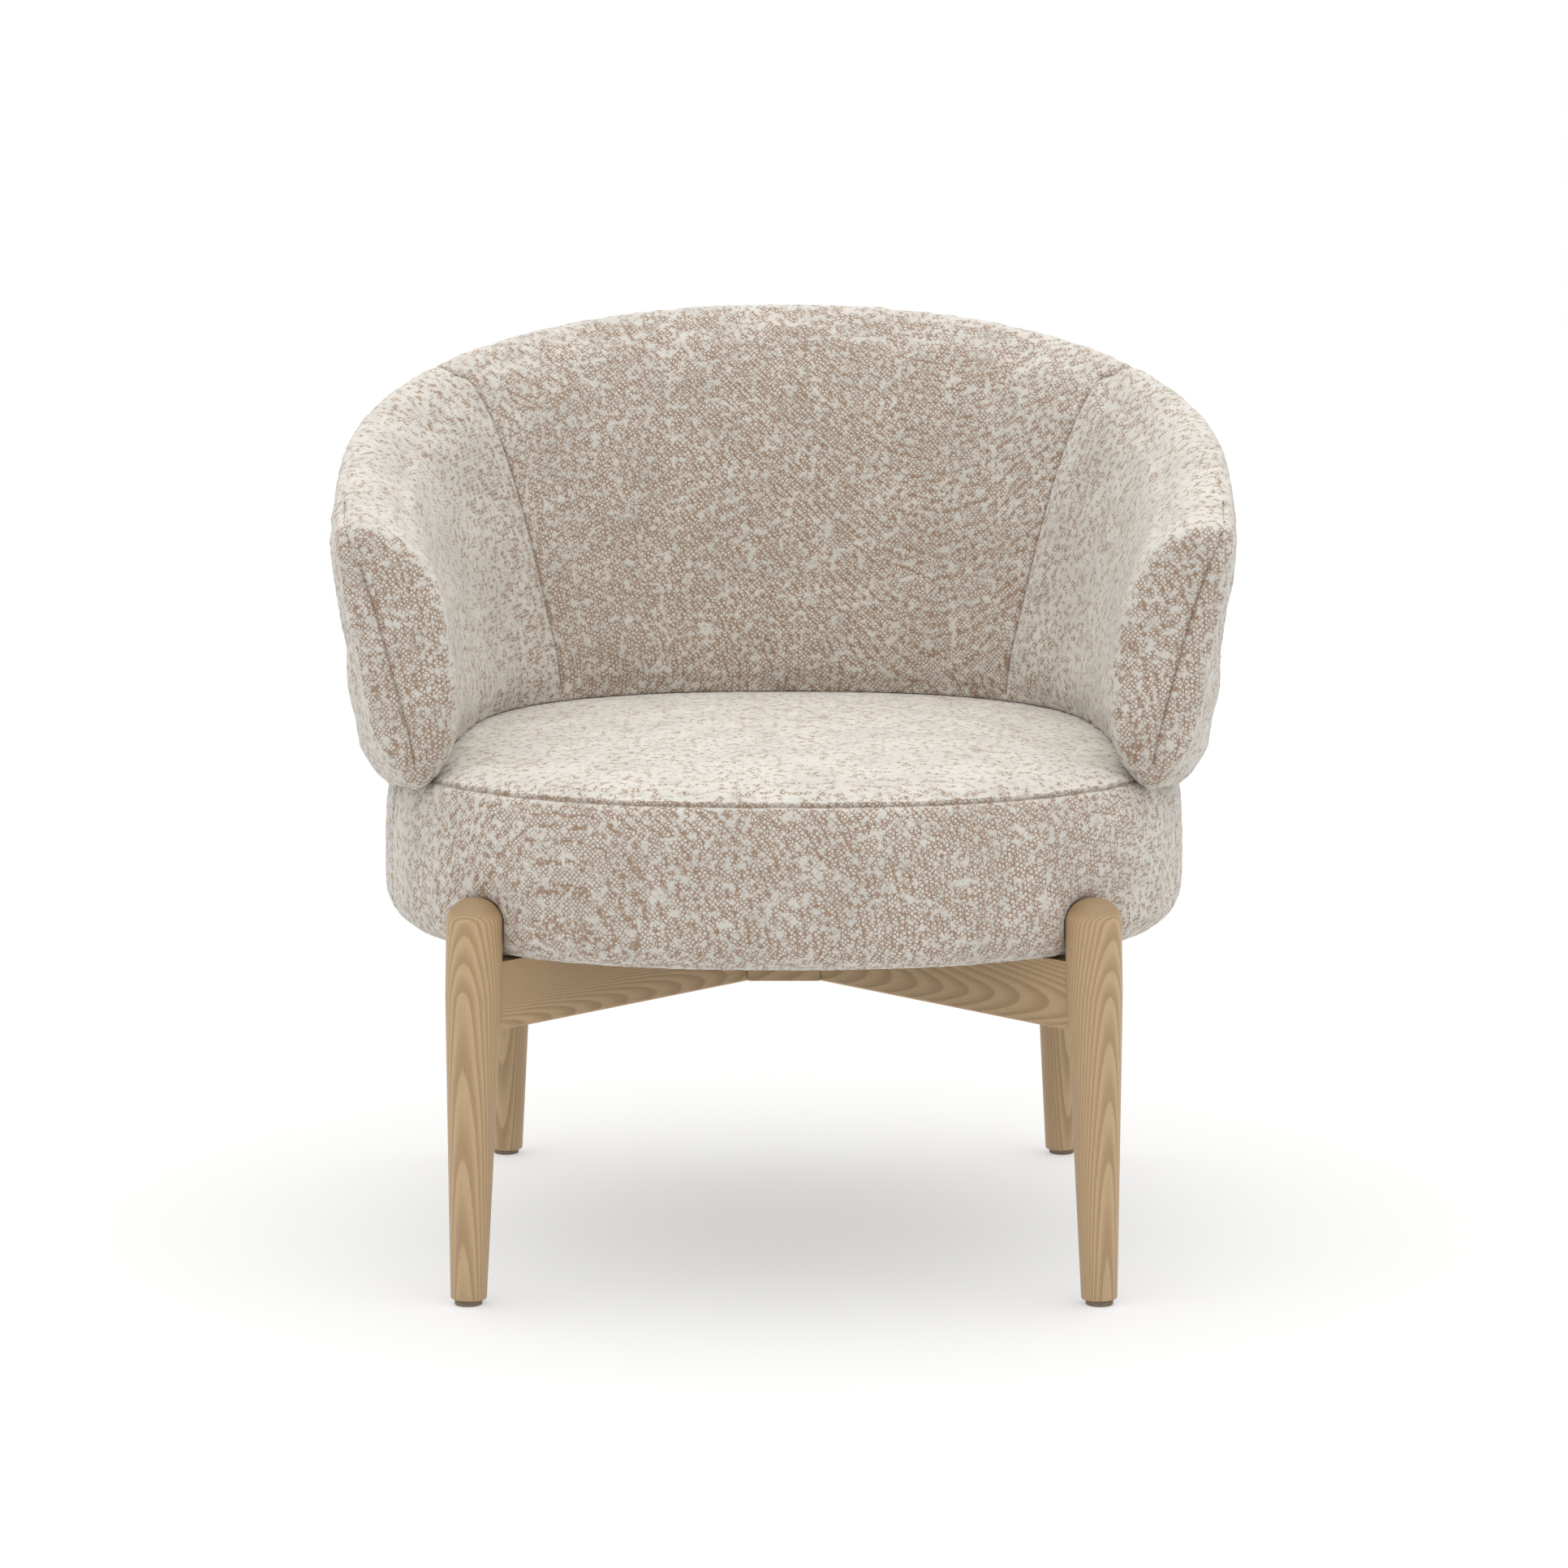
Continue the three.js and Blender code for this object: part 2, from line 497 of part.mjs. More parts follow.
// ---------------------------------------------------------------- seat
// Side profile as [inset, height], from the hem under the frame up to the seam.
function sideProfile() {
  const profile = [new THREE.Vector2(HEM_INSET, SEAT_BOTTOM_Z)];
  const edgeSteps = 5;
  for (let i = 0; i <= edgeSteps; i++) {
    const turn = (Math.PI / 2) * (i / edgeSteps);
    profile.push(new THREE.Vector2(
      SEAT_EDGE_RADIUS * (1 - Math.sin(turn)),
      SEAT_BOTTOM_Z + SEAT_EDGE_RADIUS * (1 - Math.cos(turn))));
  }
  const upright = SEAT_THICKNESS - SEAT_EDGE_RADIUS;
  for (const [rise, closing] of SIDE_CLOSING) {
    profile.push(new THREE.Vector2(
      closing * SEAT_SEAM_INSET, SEAT_BOTTOM_Z + SEAT_EDGE_RADIUS + rise * upright));
  }
  return profile;
}

function topProfile() {
  const steps = 5;
  const fullness = (inset) => 1 - (1 - inset / SEAT_HALF_WIDTH) ** CROWN_FULLNESS;
  const atSeam = fullness(SEAT_SEAM_INSET);
  const profile = [];
  for (let i = 0; i <= steps; i++) {
    const share = (i / steps) ** TOP_RING_SPREAD;
    const inset = THREE.MathUtils.lerp(SEAT_SEAM_INSET, SEAT_HALF_WIDTH * TOP_REACH, share);
    const rise = (fullness(inset) - atSeam) / (1 - atSeam);
    profile.push(new THREE.Vector2(inset, SEAT_SEAM_Z + SEAT_CROWN * rise));
  }
  return profile;
}

function seatPoint(angle, { x: inset, y: z }) {
  const share = 1 - inset / SEAT_HALF_WIDTH;
  const radius = share * outlineRadius(angle, SEAT_HALF_WIDTH, SEAT_HALF_DEPTH, SEAT_SQUARENESS);
  return new THREE.Vector3(
    radius * Math.sin(angle), SEAT_CENTRE_Y + radius * Math.cos(angle), z);
}

const seatAngles = Array.from({ length: SEAT_STEPS }, (_, i) => (2 * Math.PI * i) / SEAT_STEPS);
const seatLoop = (point) => seatAngles.map((angle) => seatPoint(angle, point));
const seatTip = (z) => new THREE.Vector3(0, SEAT_CENTRE_Y, z);

// The seat's whole profile, drawn in by a distance, and its parts below and above the seam.
const sideCount = sideProfile().length;
const seatProfile = (inset) => offsetLine(
  [...sideProfile(), ...topProfile().slice(1)], -inset, false);
const sidePart = (profile) => profile.slice(0, sideCount);
const topPart = (profile) => profile.slice(sideCount - 1);

function seatBody(inset) {
  const line = seatProfile(inset);
  return loft(line.map(seatLoop), seatTip(line[0].y), seatTip(line[line.length - 1].y));
}

// A flat plate with the seat's outline, drawn in by a distance.
function seatPlate(inset, bottom, top) {
  const loops = [bottom, top].map((z) => seatLoop(new THREE.Vector2(inset, z)));
  return loft(loops, seatTip(bottom), seatTip(top));
}

const frameBottomZ = SEAT_BOTTOM_Z + FRAME_LIFT;
const frameTopZ = frameBottomZ + FRAME_THICKNESS;
const weaveStep = (STRAP_THICKNESS + GAP) / 2;
const strapTopZ = frameTopZ + GAP + 2 * weaveStep + STRAP_THICKNESS + GAP;

// ---------------------------------------------------------------- brackets
function outerRadius(angle, z) {
  const sill = outlineRadius(angle, SILL_HALF_WIDTH,
    Math.cos(angle) > 0 ? SILL_REAR : SILL_FRONT, SILL_SQUARENESS);
  const crest = outlineRadius(angle, CREST_HALF_WIDTH,
    Math.cos(angle) > 0 ? CREST_REAR : CREST_FRONT, CREST_SQUARENESS);
  const lean = (crest - sill) / (crestHeight(angle) - SILL_Z);
  return sill + (z - SILL_Z) * lean;
}

function crestHeight(angle) {
  const radius = outlineRadius(angle, CREST_HALF_WIDTH,
    Math.cos(angle) > 0 ? CREST_REAR : CREST_FRONT, CREST_SQUARENESS);
  return CREST_Z + CREST_SLOPE * (BACK_CENTRE_Y + radius * Math.cos(angle));
}

// Distance from the back's centre line to the face of the shell or frame that a bracket meets.
const shellFace = (angle, z) => outerRadius(angle, z) - SHELL_DEPTH - SHELL_THICKNESS;
function frameFace(angle) {
  const shift = (SEAT_CENTRE_Y - BACK_CENTRE_Y) * Math.cos(angle);
  const outline = outlineRadius(angle, SEAT_HALF_WIDTH, SEAT_HALF_DEPTH, SEAT_SQUARENESS);
  return shift + outline * (1 - FRAME_INSET / SEAT_HALF_WIDTH);
}

function aroundBack(geometry, angle) {
  return geometry.rotateZ(Math.PI / 2 - angle).translate(0, BACK_CENTRE_Y, 0);
}

function bracketBlank(angle, extra) {
  const low = frameFace(angle) + BRACKET_CLEARANCE;
  const bend = shellFace(angle, SHELL_BOTTOM_Z) - BRACKET_CLEARANCE - BRACKET_THICKNESS;
  const high = shellFace(angle, BRACKET_TOP_Z) - BRACKET_CLEARANCE - BRACKET_THICKNESS;
  const inner = [[low, frameBottomZ + BRACKET_FOOT_LIFT - extra],
    [low, BRACKET_BEND_Z - BRACKET_JOG], [bend, BRACKET_BEND_Z], [high, BRACKET_TOP_Z + extra]];
  const outline = [
    ...inner.map(([r, z]) => new THREE.Vector2(r - extra, z)),
    ...inner.reverse().map(([r, z]) => new THREE.Vector2(r + BRACKET_THICKNESS + extra, z)),
  ];
  const width = BRACKET_WIDTH + 2 * extra;
  const plate = new THREE.ExtrudeGeometry(new THREE.Shape(outline),
    { depth: width, bevelEnabled: false });
  return aroundBack(plate.rotateX(Math.PI / 2).translate(0, width / 2, 0), angle);
}

// A bolt whose shank runs outward from its head; a negative bite runs inward.
function bracketBolt(angle, z, headRadius, bite, extra) {
  const way = Math.sign(bite);
  const shank = BRACKET_THICKNESS + 2 * BRACKET_CLEARANCE + Math.abs(bite);
  const profile = [
    [0, -BRACKET_BOLT_HEAD - extra], [BRACKET_BOLT_HEAD_RADIUS + extra, -BRACKET_BOLT_HEAD - extra],
    [BRACKET_BOLT_HEAD_RADIUS + extra, 0], [BRACKET_BOLT_RADIUS + extra, 0],
    [BRACKET_BOLT_RADIUS + extra, shank + extra], [0, shank + extra],
  ];
  const bolt = turned(profile, BOLT_SIDES).rotateY(way * Math.PI / 2);
  return aroundBack(bolt.translate(headRadius, 0, z), angle);
}

const bracketPieces = {};
for (const [side, degrees] of Object.entries(BRACKET_ANGLES)) {
  const angle = radians(degrees);
  const shellHead = shellFace(angle, SHELL_BOLT_Z) - 2 * BRACKET_CLEARANCE - BRACKET_THICKNESS;
  const frameHead = frameFace(angle) + 2 * BRACKET_CLEARANCE + BRACKET_THICKNESS;
  bracketPieces[side] = {
    bracket: (extra) => bracketBlank(angle, extra),
    shellBolt: (extra) => bracketBolt(angle, SHELL_BOLT_Z, shellHead, SHELL_BOLT_BITE, extra),
    frameBolt: (extra) => bracketBolt(angle, FRAME_BOLT_Z, frameHead, -FRAME_BOLT_BITE, extra),
  };
}
const bracketList = Object.entries(bracketPieces);
for (const [side, { bracket, shellBolt, frameBolt }] of bracketList) {
  const plate = cut(bracket(0), shellBolt(GAP), frameBolt(GAP));
  addPiece(`back_bracket_${side}`, plate, 'steel');
  addPiece(`shell_bolt_${side}`, shellBolt(0), 'steel');
  addPiece(`frame_bolt_${side}`, frameBolt(0), 'steel');
}
const clearances = (extra, kinds) => bracketList.flatMap(
  ([, pieces]) => kinds.map((kind) => pieces[kind](extra)));

// ---------------------------------------------------------------- seat pieces
const seatScrewHoles = [1, -1].flatMap((sign) => [1, -1].map((end) => seatScrew(GAP)
  .translate(end * seatScrewReach, 0, 0).applyMatrix4(railMatrix(sign))));

for (const [name, start] of [['rear_right', 0], ['front_right', 1], ['front_left', 2],
  ['rear_left', 3]]) {
  const steps = SEAT_STEPS / 4;
  const angles = Array.from({ length: steps + 1 }, (_, i) => (Math.PI / 2) * (start + i / steps));
  const column = (inset) => drawEdges(angles.map((angle) => [frameBottomZ, frameTopZ].map(
    (z) => seatPoint(angle, new THREE.Vector2(inset, z)))), GAP);
  const segment = panel(column(FRAME_INSET), column(FRAME_INSET + FRAME_WIDTH));
  addPiece(`seat_frame_${name}`,
    cut(segment, ...legFits, ...seatScrewHoles, ...clearances(GAP, ['frameBolt'])), 'plywood');
}

// Straps are woven: each passes over one and under the next.
const strapPlaces = Array.from({ length: STRAPS_EACH_WAY },
  (_, i) => (i - (STRAPS_EACH_WAY - 1) / 2) * STRAP_PITCH);

function strapReach(offset, halfLength, halfOther) {
  const inner = 1 - (FRAME_INSET + FRAME_WIDTH) / SEAT_HALF_WIDTH;
  const share = Math.abs(offset / (halfOther * inner)) ** SEAT_SQUARENESS;
  return halfLength * inner * (1 - share) ** (1 / SEAT_SQUARENESS) + STRAP_LANDING / 2;
}

function strapGeometry(reach, overFirst) {
  const middle = frameTopZ + GAP + STRAP_THICKNESS / 2 + weaveStep;
  const line = [[-reach, middle - weaveStep]];
  strapPlaces.forEach((place, i) => {
    const over = (i % 2 === 0) === overFirst;
    const z = middle + (over ? weaveStep : -weaveStep);
    const half = STRAP_WIDTH / 2 + STRAP_LEVEL_MARGIN;
    line.push([place - half, z], [place + half, z]);
  });
  line.push([reach, middle - weaveStep]);
  const half = STRAP_THICKNESS / 2;
  const outline = [
    ...line.map(([x, z]) => new THREE.Vector2(x, z - half)),
    ...line.reverse().map(([x, z]) => new THREE.Vector2(x, z + half)),
  ];
  const strap = new THREE.ExtrudeGeometry(new THREE.Shape(outline),
    { depth: STRAP_WIDTH, bevelEnabled: false });
  return strap.rotateX(Math.PI / 2).translate(0, STRAP_WIDTH / 2, 0);
}

strapPlaces.forEach((place, i) => {
  const acrossReach = strapReach(Math.abs(place) + STRAP_WIDTH / 2, SEAT_HALF_WIDTH, SEAT_HALF_DEPTH);
  const across = strapGeometry(acrossReach, i % 2 === 0);
  addPiece(`strap_across_${i + 1}`, across.translate(0, SEAT_CENTRE_Y + place, 0), 'webbing');
  const alongReach = strapReach(Math.abs(place) + STRAP_WIDTH / 2, SEAT_HALF_DEPTH, SEAT_HALF_WIDTH);
  const along = strapGeometry(alongReach, i % 2 !== 0).rotateZ(Math.PI / 2);
  addPiece(`strap_along_${i + 1}`, along.translate(place, SEAT_CENTRE_Y, 0), 'webbing');
});

const frameSpace = seatPlate(FRAME_INSET - SOFT_GAP, SEAT_BOTTOM_Z - COVER, strapTopZ);
const hardPieces = clearances(SOFT_GAP, ['bracket', 'shellBolt', 'frameBolt']);
addPiece('seat_foam',
  cut(seatBody(COVER + GAP), frameSpace, ...hardPieces, ...legClearances), 'foam');

const topOuter = topPart(seatProfile(0));
const topInner = topPart(seatProfile(COVER));
const topLoops = [...topInner].reverse().concat(topOuter).map(seatLoop);
const topCover = loft(topLoops, seatTip(topInner[topInner.length - 1].y),
  seatTip(topOuter[topOuter.length - 1].y));
addPiece('seat_cover_top', cut(topCover, ...hardPieces), 'boucle');

// The bands stop short of the seam by the thickness of the top cover's edge.
function bandProfile(inset) {
  const line = sidePart(seatProfile(inset));
  const [below, seam] = line.slice(-2);
  line[line.length - 1] = seam.clone().lerp(below, (COVER + GAP) / seam.distanceTo(below));
  return line;
}
const bandOuter = bandProfile(0);
const bandInner = bandProfile(COVER);
function band(firstStep, lastStep) {
  const angles = Array.from({ length: lastStep - firstStep + 1 },
    (_, i) => (2 * Math.PI * (firstStep + i)) / SEAT_STEPS);
  const grid = (profile) => drawEdges(
    angles.map((angle) => profile.map((p) => seatPoint(angle, p))), GAP);
  return cut(panel(grid(bandOuter), grid(bandInner)), ...hardPieces, ...legClearances);
}
addPiece('seat_band_rear', band(-SIDE_SEAM_STEP, SIDE_SEAM_STEP), 'boucle');
addPiece('seat_band_front', band(SIDE_SEAM_STEP, SEAT_STEPS - SIDE_SEAM_STEP), 'boucle');

const dustCover = seatPlate(HEM_INSET + 2 * GAP, SEAT_BOTTOM_Z + GAP,
  SEAT_BOTTOM_Z + GAP + DUST_COVER_THICKNESS);
addPiece('dust_cover', cut(dustCover, ...seatScrewHoles), 'lining');

// ---------------------------------------------------------------- back and arms
// The point where a wall's thickness is counted inward from the outer surface.
function wallPoint(share, z, inward, forward) {
  const turnShare = THREE.MathUtils.clamp((z - SILL_Z) / (CREST_Z - SILL_Z), 0, 1);
  const end = THREE.MathUtils.lerp(ARM_ANGLE_BOTTOM, ARM_ANGLE_TOP, turnShare);
  const degrees = Math.abs(share) * end;
  const excess = Math.max(0, degrees - TURN_START);
  const facing = radians(degrees - (end - SIDEWAYS) * (excess / (end - TURN_START)) ** 2);
  const radius = outerRadius(radians(degrees), z);
  const side = Math.sign(share) || 1;
  return new THREE.Vector3(
    side * (radius * Math.sin(radians(degrees)) - inward * Math.sin(facing)),
    BACK_CENTRE_Y + radius * Math.cos(radians(degrees)) - inward * Math.cos(facing) - forward,
    z);
}

// One closed cross-section of the padding, drawn in by a distance.
function paddingSection(share, inset, forward) {
  const blend = Math.abs(share) ** SECTION_BLEND_POWER;
  const bottom = BACK_BOTTOM_Z + ARM_BOTTOM_RISE * Math.abs(share) ** UNDERSIDE_RISE_POWER;
  const height = crestHeight(Math.abs(share) * radians(ARM_ANGLE_TOP)) - bottom;
  const controls = REAR_SECTION.map(([rearIn, rearUp], i) => {
    const [armIn, armUp] = ARM_SECTION[i];
    return new THREE.Vector3(
      THREE.MathUtils.lerp(rearIn, armIn, blend),
      bottom + height * THREE.MathUtils.lerp(rearUp, armUp, blend), 0);
  });
  const curve = new THREE.CatmullRomCurve3(controls, true, 'centripetal');
  const count = controls.length * SECTION_SPLIT;
  const line = Array.from({ length: count }, (_, i) => {
    const point = curve.getPoint(i / count);
    return new THREE.Vector2(point.x, point.y);
  });
  return offsetLine(line, inset, true).map((p) => wallPoint(share, p.y, p.x, forward));
}

const stepShare = (step) => (2 * step) / BACK_STEPS - 1;
const middleStep = BACK_STEPS / 2;
const leftSeamStep = middleStep - ARM_SEAM_STEP;
const rightSeamStep = middleStep + ARM_SEAM_STEP;

// Sections from one arm front round to the other, each with a rounded end.
function paddingSections(inset, endGap) {
  const radius = ARM_END_RADIUS - inset;
  const endSteps = 3;
  const end = (share) => Array.from({ length: endSteps }, (_, i) => {
    const turn = (Math.PI / 2) * ((i + 1) / endSteps);
    const drawnIn = inset + radius * (1 - Math.cos(turn));
    return paddingSection(share, drawnIn, (radius - endGap) * Math.sin(turn));
  });
  const middle = Array.from({ length: BACK_STEPS + 1 },
    (_, i) => paddingSection(stepShare(i), inset, 0));
  return { left: end(-1).reverse(), middle, right: end(1) };
}

function paddingTip(section, forward) {
  const tip = section.reduce((sum, point) => sum.add(point), new THREE.Vector3());
  tip.divideScalar(section.length);
  tip.y -= forward;
  return tip;
}

// The foam of the back and of each arm butt together under the seams of their covers.
const foamInset = COVER + GAP;
const foamParts = paddingSections(foamInset, FOAM_END_GAP);
const foamButtShare = GAP / (SILL_HALF_WIDTH * radians(ARM_ANGLE_TOP));
const foamButt = (step, side) => paddingSection(stepShare(step) + side * foamButtShare, foamInset, 0);
const foamLoops = {
  back_foam: [foamButt(leftSeamStep, 1),
    ...foamParts.middle.slice(leftSeamStep + 1, rightSeamStep), foamButt(rightSeamStep, -1)],
  arm_foam_left: [...foamParts.left, ...foamParts.middle.slice(0, leftSeamStep),
    foamButt(leftSeamStep, -1)],
  arm_foam_right: [foamButt(rightSeamStep, 1), ...foamParts.middle.slice(rightSeamStep + 1),
    ...foamParts.right],
};
const foamTips = {
  back_foam: [0, 0], arm_foam_left: [FOAM_END_CROWN, 0], arm_foam_right: [0, FOAM_END_CROWN],
};

// The slot in the foam has the shell's own facets, so that the two stay apart all the way round,
// one short step further at each end, and a row more below.
function shellGrid(inward, extra, slotBottom) {
  const rows = 4;
  const shares = Array.from({ length: BACK_STEPS + 1 }, (_, i) => stepShare(i) * SHELL_REACH);
  if (extra > 0) {
    const endShare = SHELL_REACH + (2 * extra) / (SILL_HALF_WIDTH * radians(ARM_ANGLE_TOP));
    shares.unshift(-endShare);
    shares.push(endShare);
  }
  return shares.map((share) => {
    const top = crestHeight(Math.abs(share) * radians(ARM_ANGLE_TOP)) - SHELL_TOP_MARGIN;
    const levels = Array.from({ length: rows },
      (_, j) => THREE.MathUtils.lerp(SHELL_BOTTOM_Z, top, j / (rows - 1)));
    if (extra > 0) {
      levels.unshift(slotBottom);
      levels.push(top + extra);
    }
    return levels.map((z) => wallPoint(share, z, inward, 0));
  });
}

function shellBlank(extra, slotBottom) {
  return panel(shellGrid(SHELL_DEPTH - extra, extra, slotBottom),
    shellGrid(SHELL_DEPTH + SHELL_THICKNESS + extra, extra, slotBottom));
}

addPiece('back_shell', cut(shellBlank(0), ...clearances(GAP, ['shellBolt'])),
  'plywood');
const shellSlot = shellBlank(SHELL_SLOT_GAP, BACK_BOTTOM_Z - COVER);
const seatClearance = seatBody(-GAP);
for (const [name, loops] of Object.entries(foamLoops)) {
  const [first, last] = foamTips[name];
  const blank = loft(loops, paddingTip(loops[0], first), paddingTip(loops[loops.length - 1], last));
  addPiece(name, cut(blank, seatClearance, shellSlot, ...hardPieces), 'foam');
}

// A cover takes a run of section points over a run of sections. At an arm front it goes on
// over the end and is sewn along a line from the outer top corner to the underside.
const coverOuter = paddingSections(0, 0);
const coverInner = paddingSections(COVER, 0);

function endRows(section, from, to, forward) {
  const count = section.length;
  const top = section[CREST_SEAM_POINT * SECTION_SPLIT];
  const under = section[UNDER_SEAM_POINT * SECTION_SPLIT];
  return [0.5, 1].map((share) => {
    const row = [];
    for (let j = from; j <= to; j++) {
      const along = Math.abs(j - CREST_SEAM_POINT * SECTION_SPLIT) / (to - from);
      const seam = new THREE.Vector3().lerpVectors(top, under, along);
      const point = section[j % count].clone().lerp(seam, share * END_ROW_REACH);
      point.y -= forward * share;
      row.push(point);
    }
    return row;
  });
}

function coverRows(parts, from, to, first, last, forward) {
  const count = parts.middle[0].length;
  const pick = (section) => Array.from({ length: to - from + 1 },
    (_, j) => section[(from + j) % count]);
  const rows = parts.middle.slice(first, last + 1).map(pick);
  if (first === 0) {
    rows.unshift(...parts.left.map(pick));
    rows.unshift(...endRows(parts.left[0], from, to, forward).reverse());
  }
  if (last === BACK_STEPS) {
    rows.push(...parts.right.map(pick));
    rows.push(...endRows(parts.right[parts.right.length - 1], from, to, forward));
  }
  return rows;
}

const seamPoint = CREST_SEAM_POINT * SECTION_SPLIT;
const underPoint = UNDER_SEAM_POINT * SECTION_SPLIT;
const sectionPoints = REAR_SECTION.length * SECTION_SPLIT;
const covers = {
  back_cover_inner: [underPoint, seamPoint, leftSeamStep, rightSeamStep],
  arm_cover_left: [underPoint, seamPoint, 0, leftSeamStep],
  arm_cover_right: [underPoint, seamPoint, rightSeamStep, BACK_STEPS],
  back_cover_outer: [seamPoint, sectionPoints + underPoint, 0, BACK_STEPS],
};
for (const [name, [from, to, first, last]] of Object.entries(covers)) {
  const sheets = [coverOuter, coverInner].map(
    (parts) => drawEdges(coverRows(parts, from, to, first, last, ARM_END_CROWN), BACK_SEAM_GAP));
  const blank = panel(...sheets);
  addPiece(name, cut(blank, seatClearance), 'boucle');
}

// The part's origin is the middle of its footprint, on the floor.
chair.updateMatrixWorld(true);
const box = new THREE.Box3().setFromObject(chair, true);
const centre = box.getCenter(new THREE.Vector3());
chair.position.set(-centre.x, -centre.y, -box.min.z);
chair.updateMatrixWorld(true);

export default chair;
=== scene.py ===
import json
import math

import bpy
import numpy as np
from bpy.props import FloatProperty, FloatVectorProperty, IntProperty, PointerProperty
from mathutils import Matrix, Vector, noise
from mathutils.bvhtree import BVHTree
from mathutils.kdtree import KDTree


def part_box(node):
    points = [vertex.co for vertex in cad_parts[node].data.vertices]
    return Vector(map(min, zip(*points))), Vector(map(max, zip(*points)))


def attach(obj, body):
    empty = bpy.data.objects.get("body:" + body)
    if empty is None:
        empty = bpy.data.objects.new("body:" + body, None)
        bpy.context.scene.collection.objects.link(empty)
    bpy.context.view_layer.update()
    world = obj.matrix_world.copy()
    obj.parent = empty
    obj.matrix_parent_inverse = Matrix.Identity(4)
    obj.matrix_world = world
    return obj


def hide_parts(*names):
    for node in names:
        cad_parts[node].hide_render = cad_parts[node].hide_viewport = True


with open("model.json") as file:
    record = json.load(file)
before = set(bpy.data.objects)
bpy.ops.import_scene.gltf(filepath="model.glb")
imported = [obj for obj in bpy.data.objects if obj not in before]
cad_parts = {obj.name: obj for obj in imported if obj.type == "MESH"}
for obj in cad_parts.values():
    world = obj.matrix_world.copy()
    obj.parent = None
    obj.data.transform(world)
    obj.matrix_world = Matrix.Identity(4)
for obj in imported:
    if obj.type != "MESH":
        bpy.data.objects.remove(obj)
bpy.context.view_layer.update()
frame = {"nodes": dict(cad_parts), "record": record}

bl_info = {
    "name": "Tub Armchair",
    "version": (1, 0, 0),
    "blender": (4, 5, 0),
    "location": "3D Viewport > Sidebar > Armchair",
    "description": "Upholsters a tub armchair in boucle round its packed frame",
    "category": "Object",
}

CORNERS = ("front_left", "front_right", "rear_left", "rear_right")
SIDES = {"left": -1, "right": 1}
MM = 0.001
WELD_DISTANCE = 0.02 * MM


def linear(text):
    """An sRGB hex colour as linear red, green and blue."""
    shares = [int(text[i:i + 2], 16) / 255 for i in (1, 3, 5)]
    return [s / 12.92 if s <= 0.04045 else ((s + 0.055) / 1.055) ** 2.4 for s in shares]


def colour(name, description, text):
    """A colour setting, given as an sRGB hex colour."""
    return FloatVectorProperty(
        name=name, description=description, default=linear(text), subtype="COLOR", min=0, max=1)


def length(name, description, millimetres):
    """A length setting, given in millimetres."""
    return FloatProperty(
        name=name, description=description, default=millimetres * MM, unit="LENGTH", precision=4)


# ---------------------------------------------------------------- settings
class ChairFabric(bpy.types.PropertyGroup):
    """The boucle cover."""
    loop: colour("Loop", "Wool loops that stand on the ground weave", "#d2cec6")
    ground: colour("Ground", "Tan ground yarn between the loops", "#967c66")
    # The thread colour is also mixed into the cloth along the seam creases, as thread and painted
    # shade.
    thread: colour("Thread", "Sewing thread", "#77634e")
    pitch: length("Pitch", "Distance between two knots of the ground weave", 3)
    nub: length("Nub", "Width of a thick loop", 6)
    nub_height: length("Nub height", "How far a thick loop stands out", 0.8)
    stitch: length("Stitch", "Distance from stitch to stitch", 5.2)


class ChairPadding(bpy.types.PropertyGroup):
    """How the padded pieces are filled."""
    voxel: length("Mesh size", "Edge length of the mesh that is inflated", 6)
    shrink: length("Start inset", "How much smaller a pad starts than its space", 2)
    swell: length("Swell", "Most that a point may move while a pad fills", 6)
    seam_swell: length("Seam swell", "Most that a point on a seam may move", 2)
    seam_width: length("Seam width", "Distance from a seam to where a pad is full", 26)
    pressure: FloatProperty(name="Pressure", description="Air pressure inside the cover", default=4)
    frames: IntProperty(name="Frames", description="Steps of the simulation", default=20)


class ChairTimber(bpy.types.PropertyGroup):
    """Clear-oiled ash."""
    early: colour("Early wood", "Pale wood of spring", "#bda17b")
    late: colour("Late wood", "Darker line that closes a year's growth", "#8f7050")
    ring: length("Ring", "Width of one year's growth", 1.5)
    dome: length("Dome", "Height of a leg's rounded top", 19)
    shoulder: length("Shoulder", "Straight length below the dome", 60)
    edge: length("Edge", "Radius of the sanded edges", 1.4)


class ChairStage(bpy.types.PropertyGroup):
    """Floor, light and camera."""
    floor: colour("Floor", "Sheet of the light table that the chair stands on", "#b2b2b2")
    glow: FloatProperty(name="Glow", description="Strength of the table's own light", default=0.45)
    sky: FloatProperty(name="Sky", description="Strength of the light from the walls", default=0.66)
    ceiling: FloatProperty(
        name="Ceiling", description="Strength of the light from straight above", default=2.1)
    distance: FloatProperty(
        name="Distance", description="Camera from the origin", default=4.1217, unit="LENGTH")
    height: FloatProperty(
        name="Height", description="Camera above the floor", default=1.024, unit="LENGTH")
    tilt: FloatProperty(name="Tilt", description="Camera's look down from level",
                        default=math.radians(8.8), subtype="ANGLE")
    lens: FloatProperty(name="Lens", description="Focal length in millimetres", default=110.3)


# ---------------------------------------------------------------- nodes and materials
def node(tree, kind, values=None, links=None, **settings):
    """Adds a shader node with its settings, input values and links."""
    made = tree.nodes.new(kind)
    for key, value in settings.items():
        setattr(made, key, value)
    for key, value in (values or {}).items():
        made.inputs[key].default_value = value
    for key, source in (links or {}).items():
        tree.links.new(source, made.inputs[key])
    return made


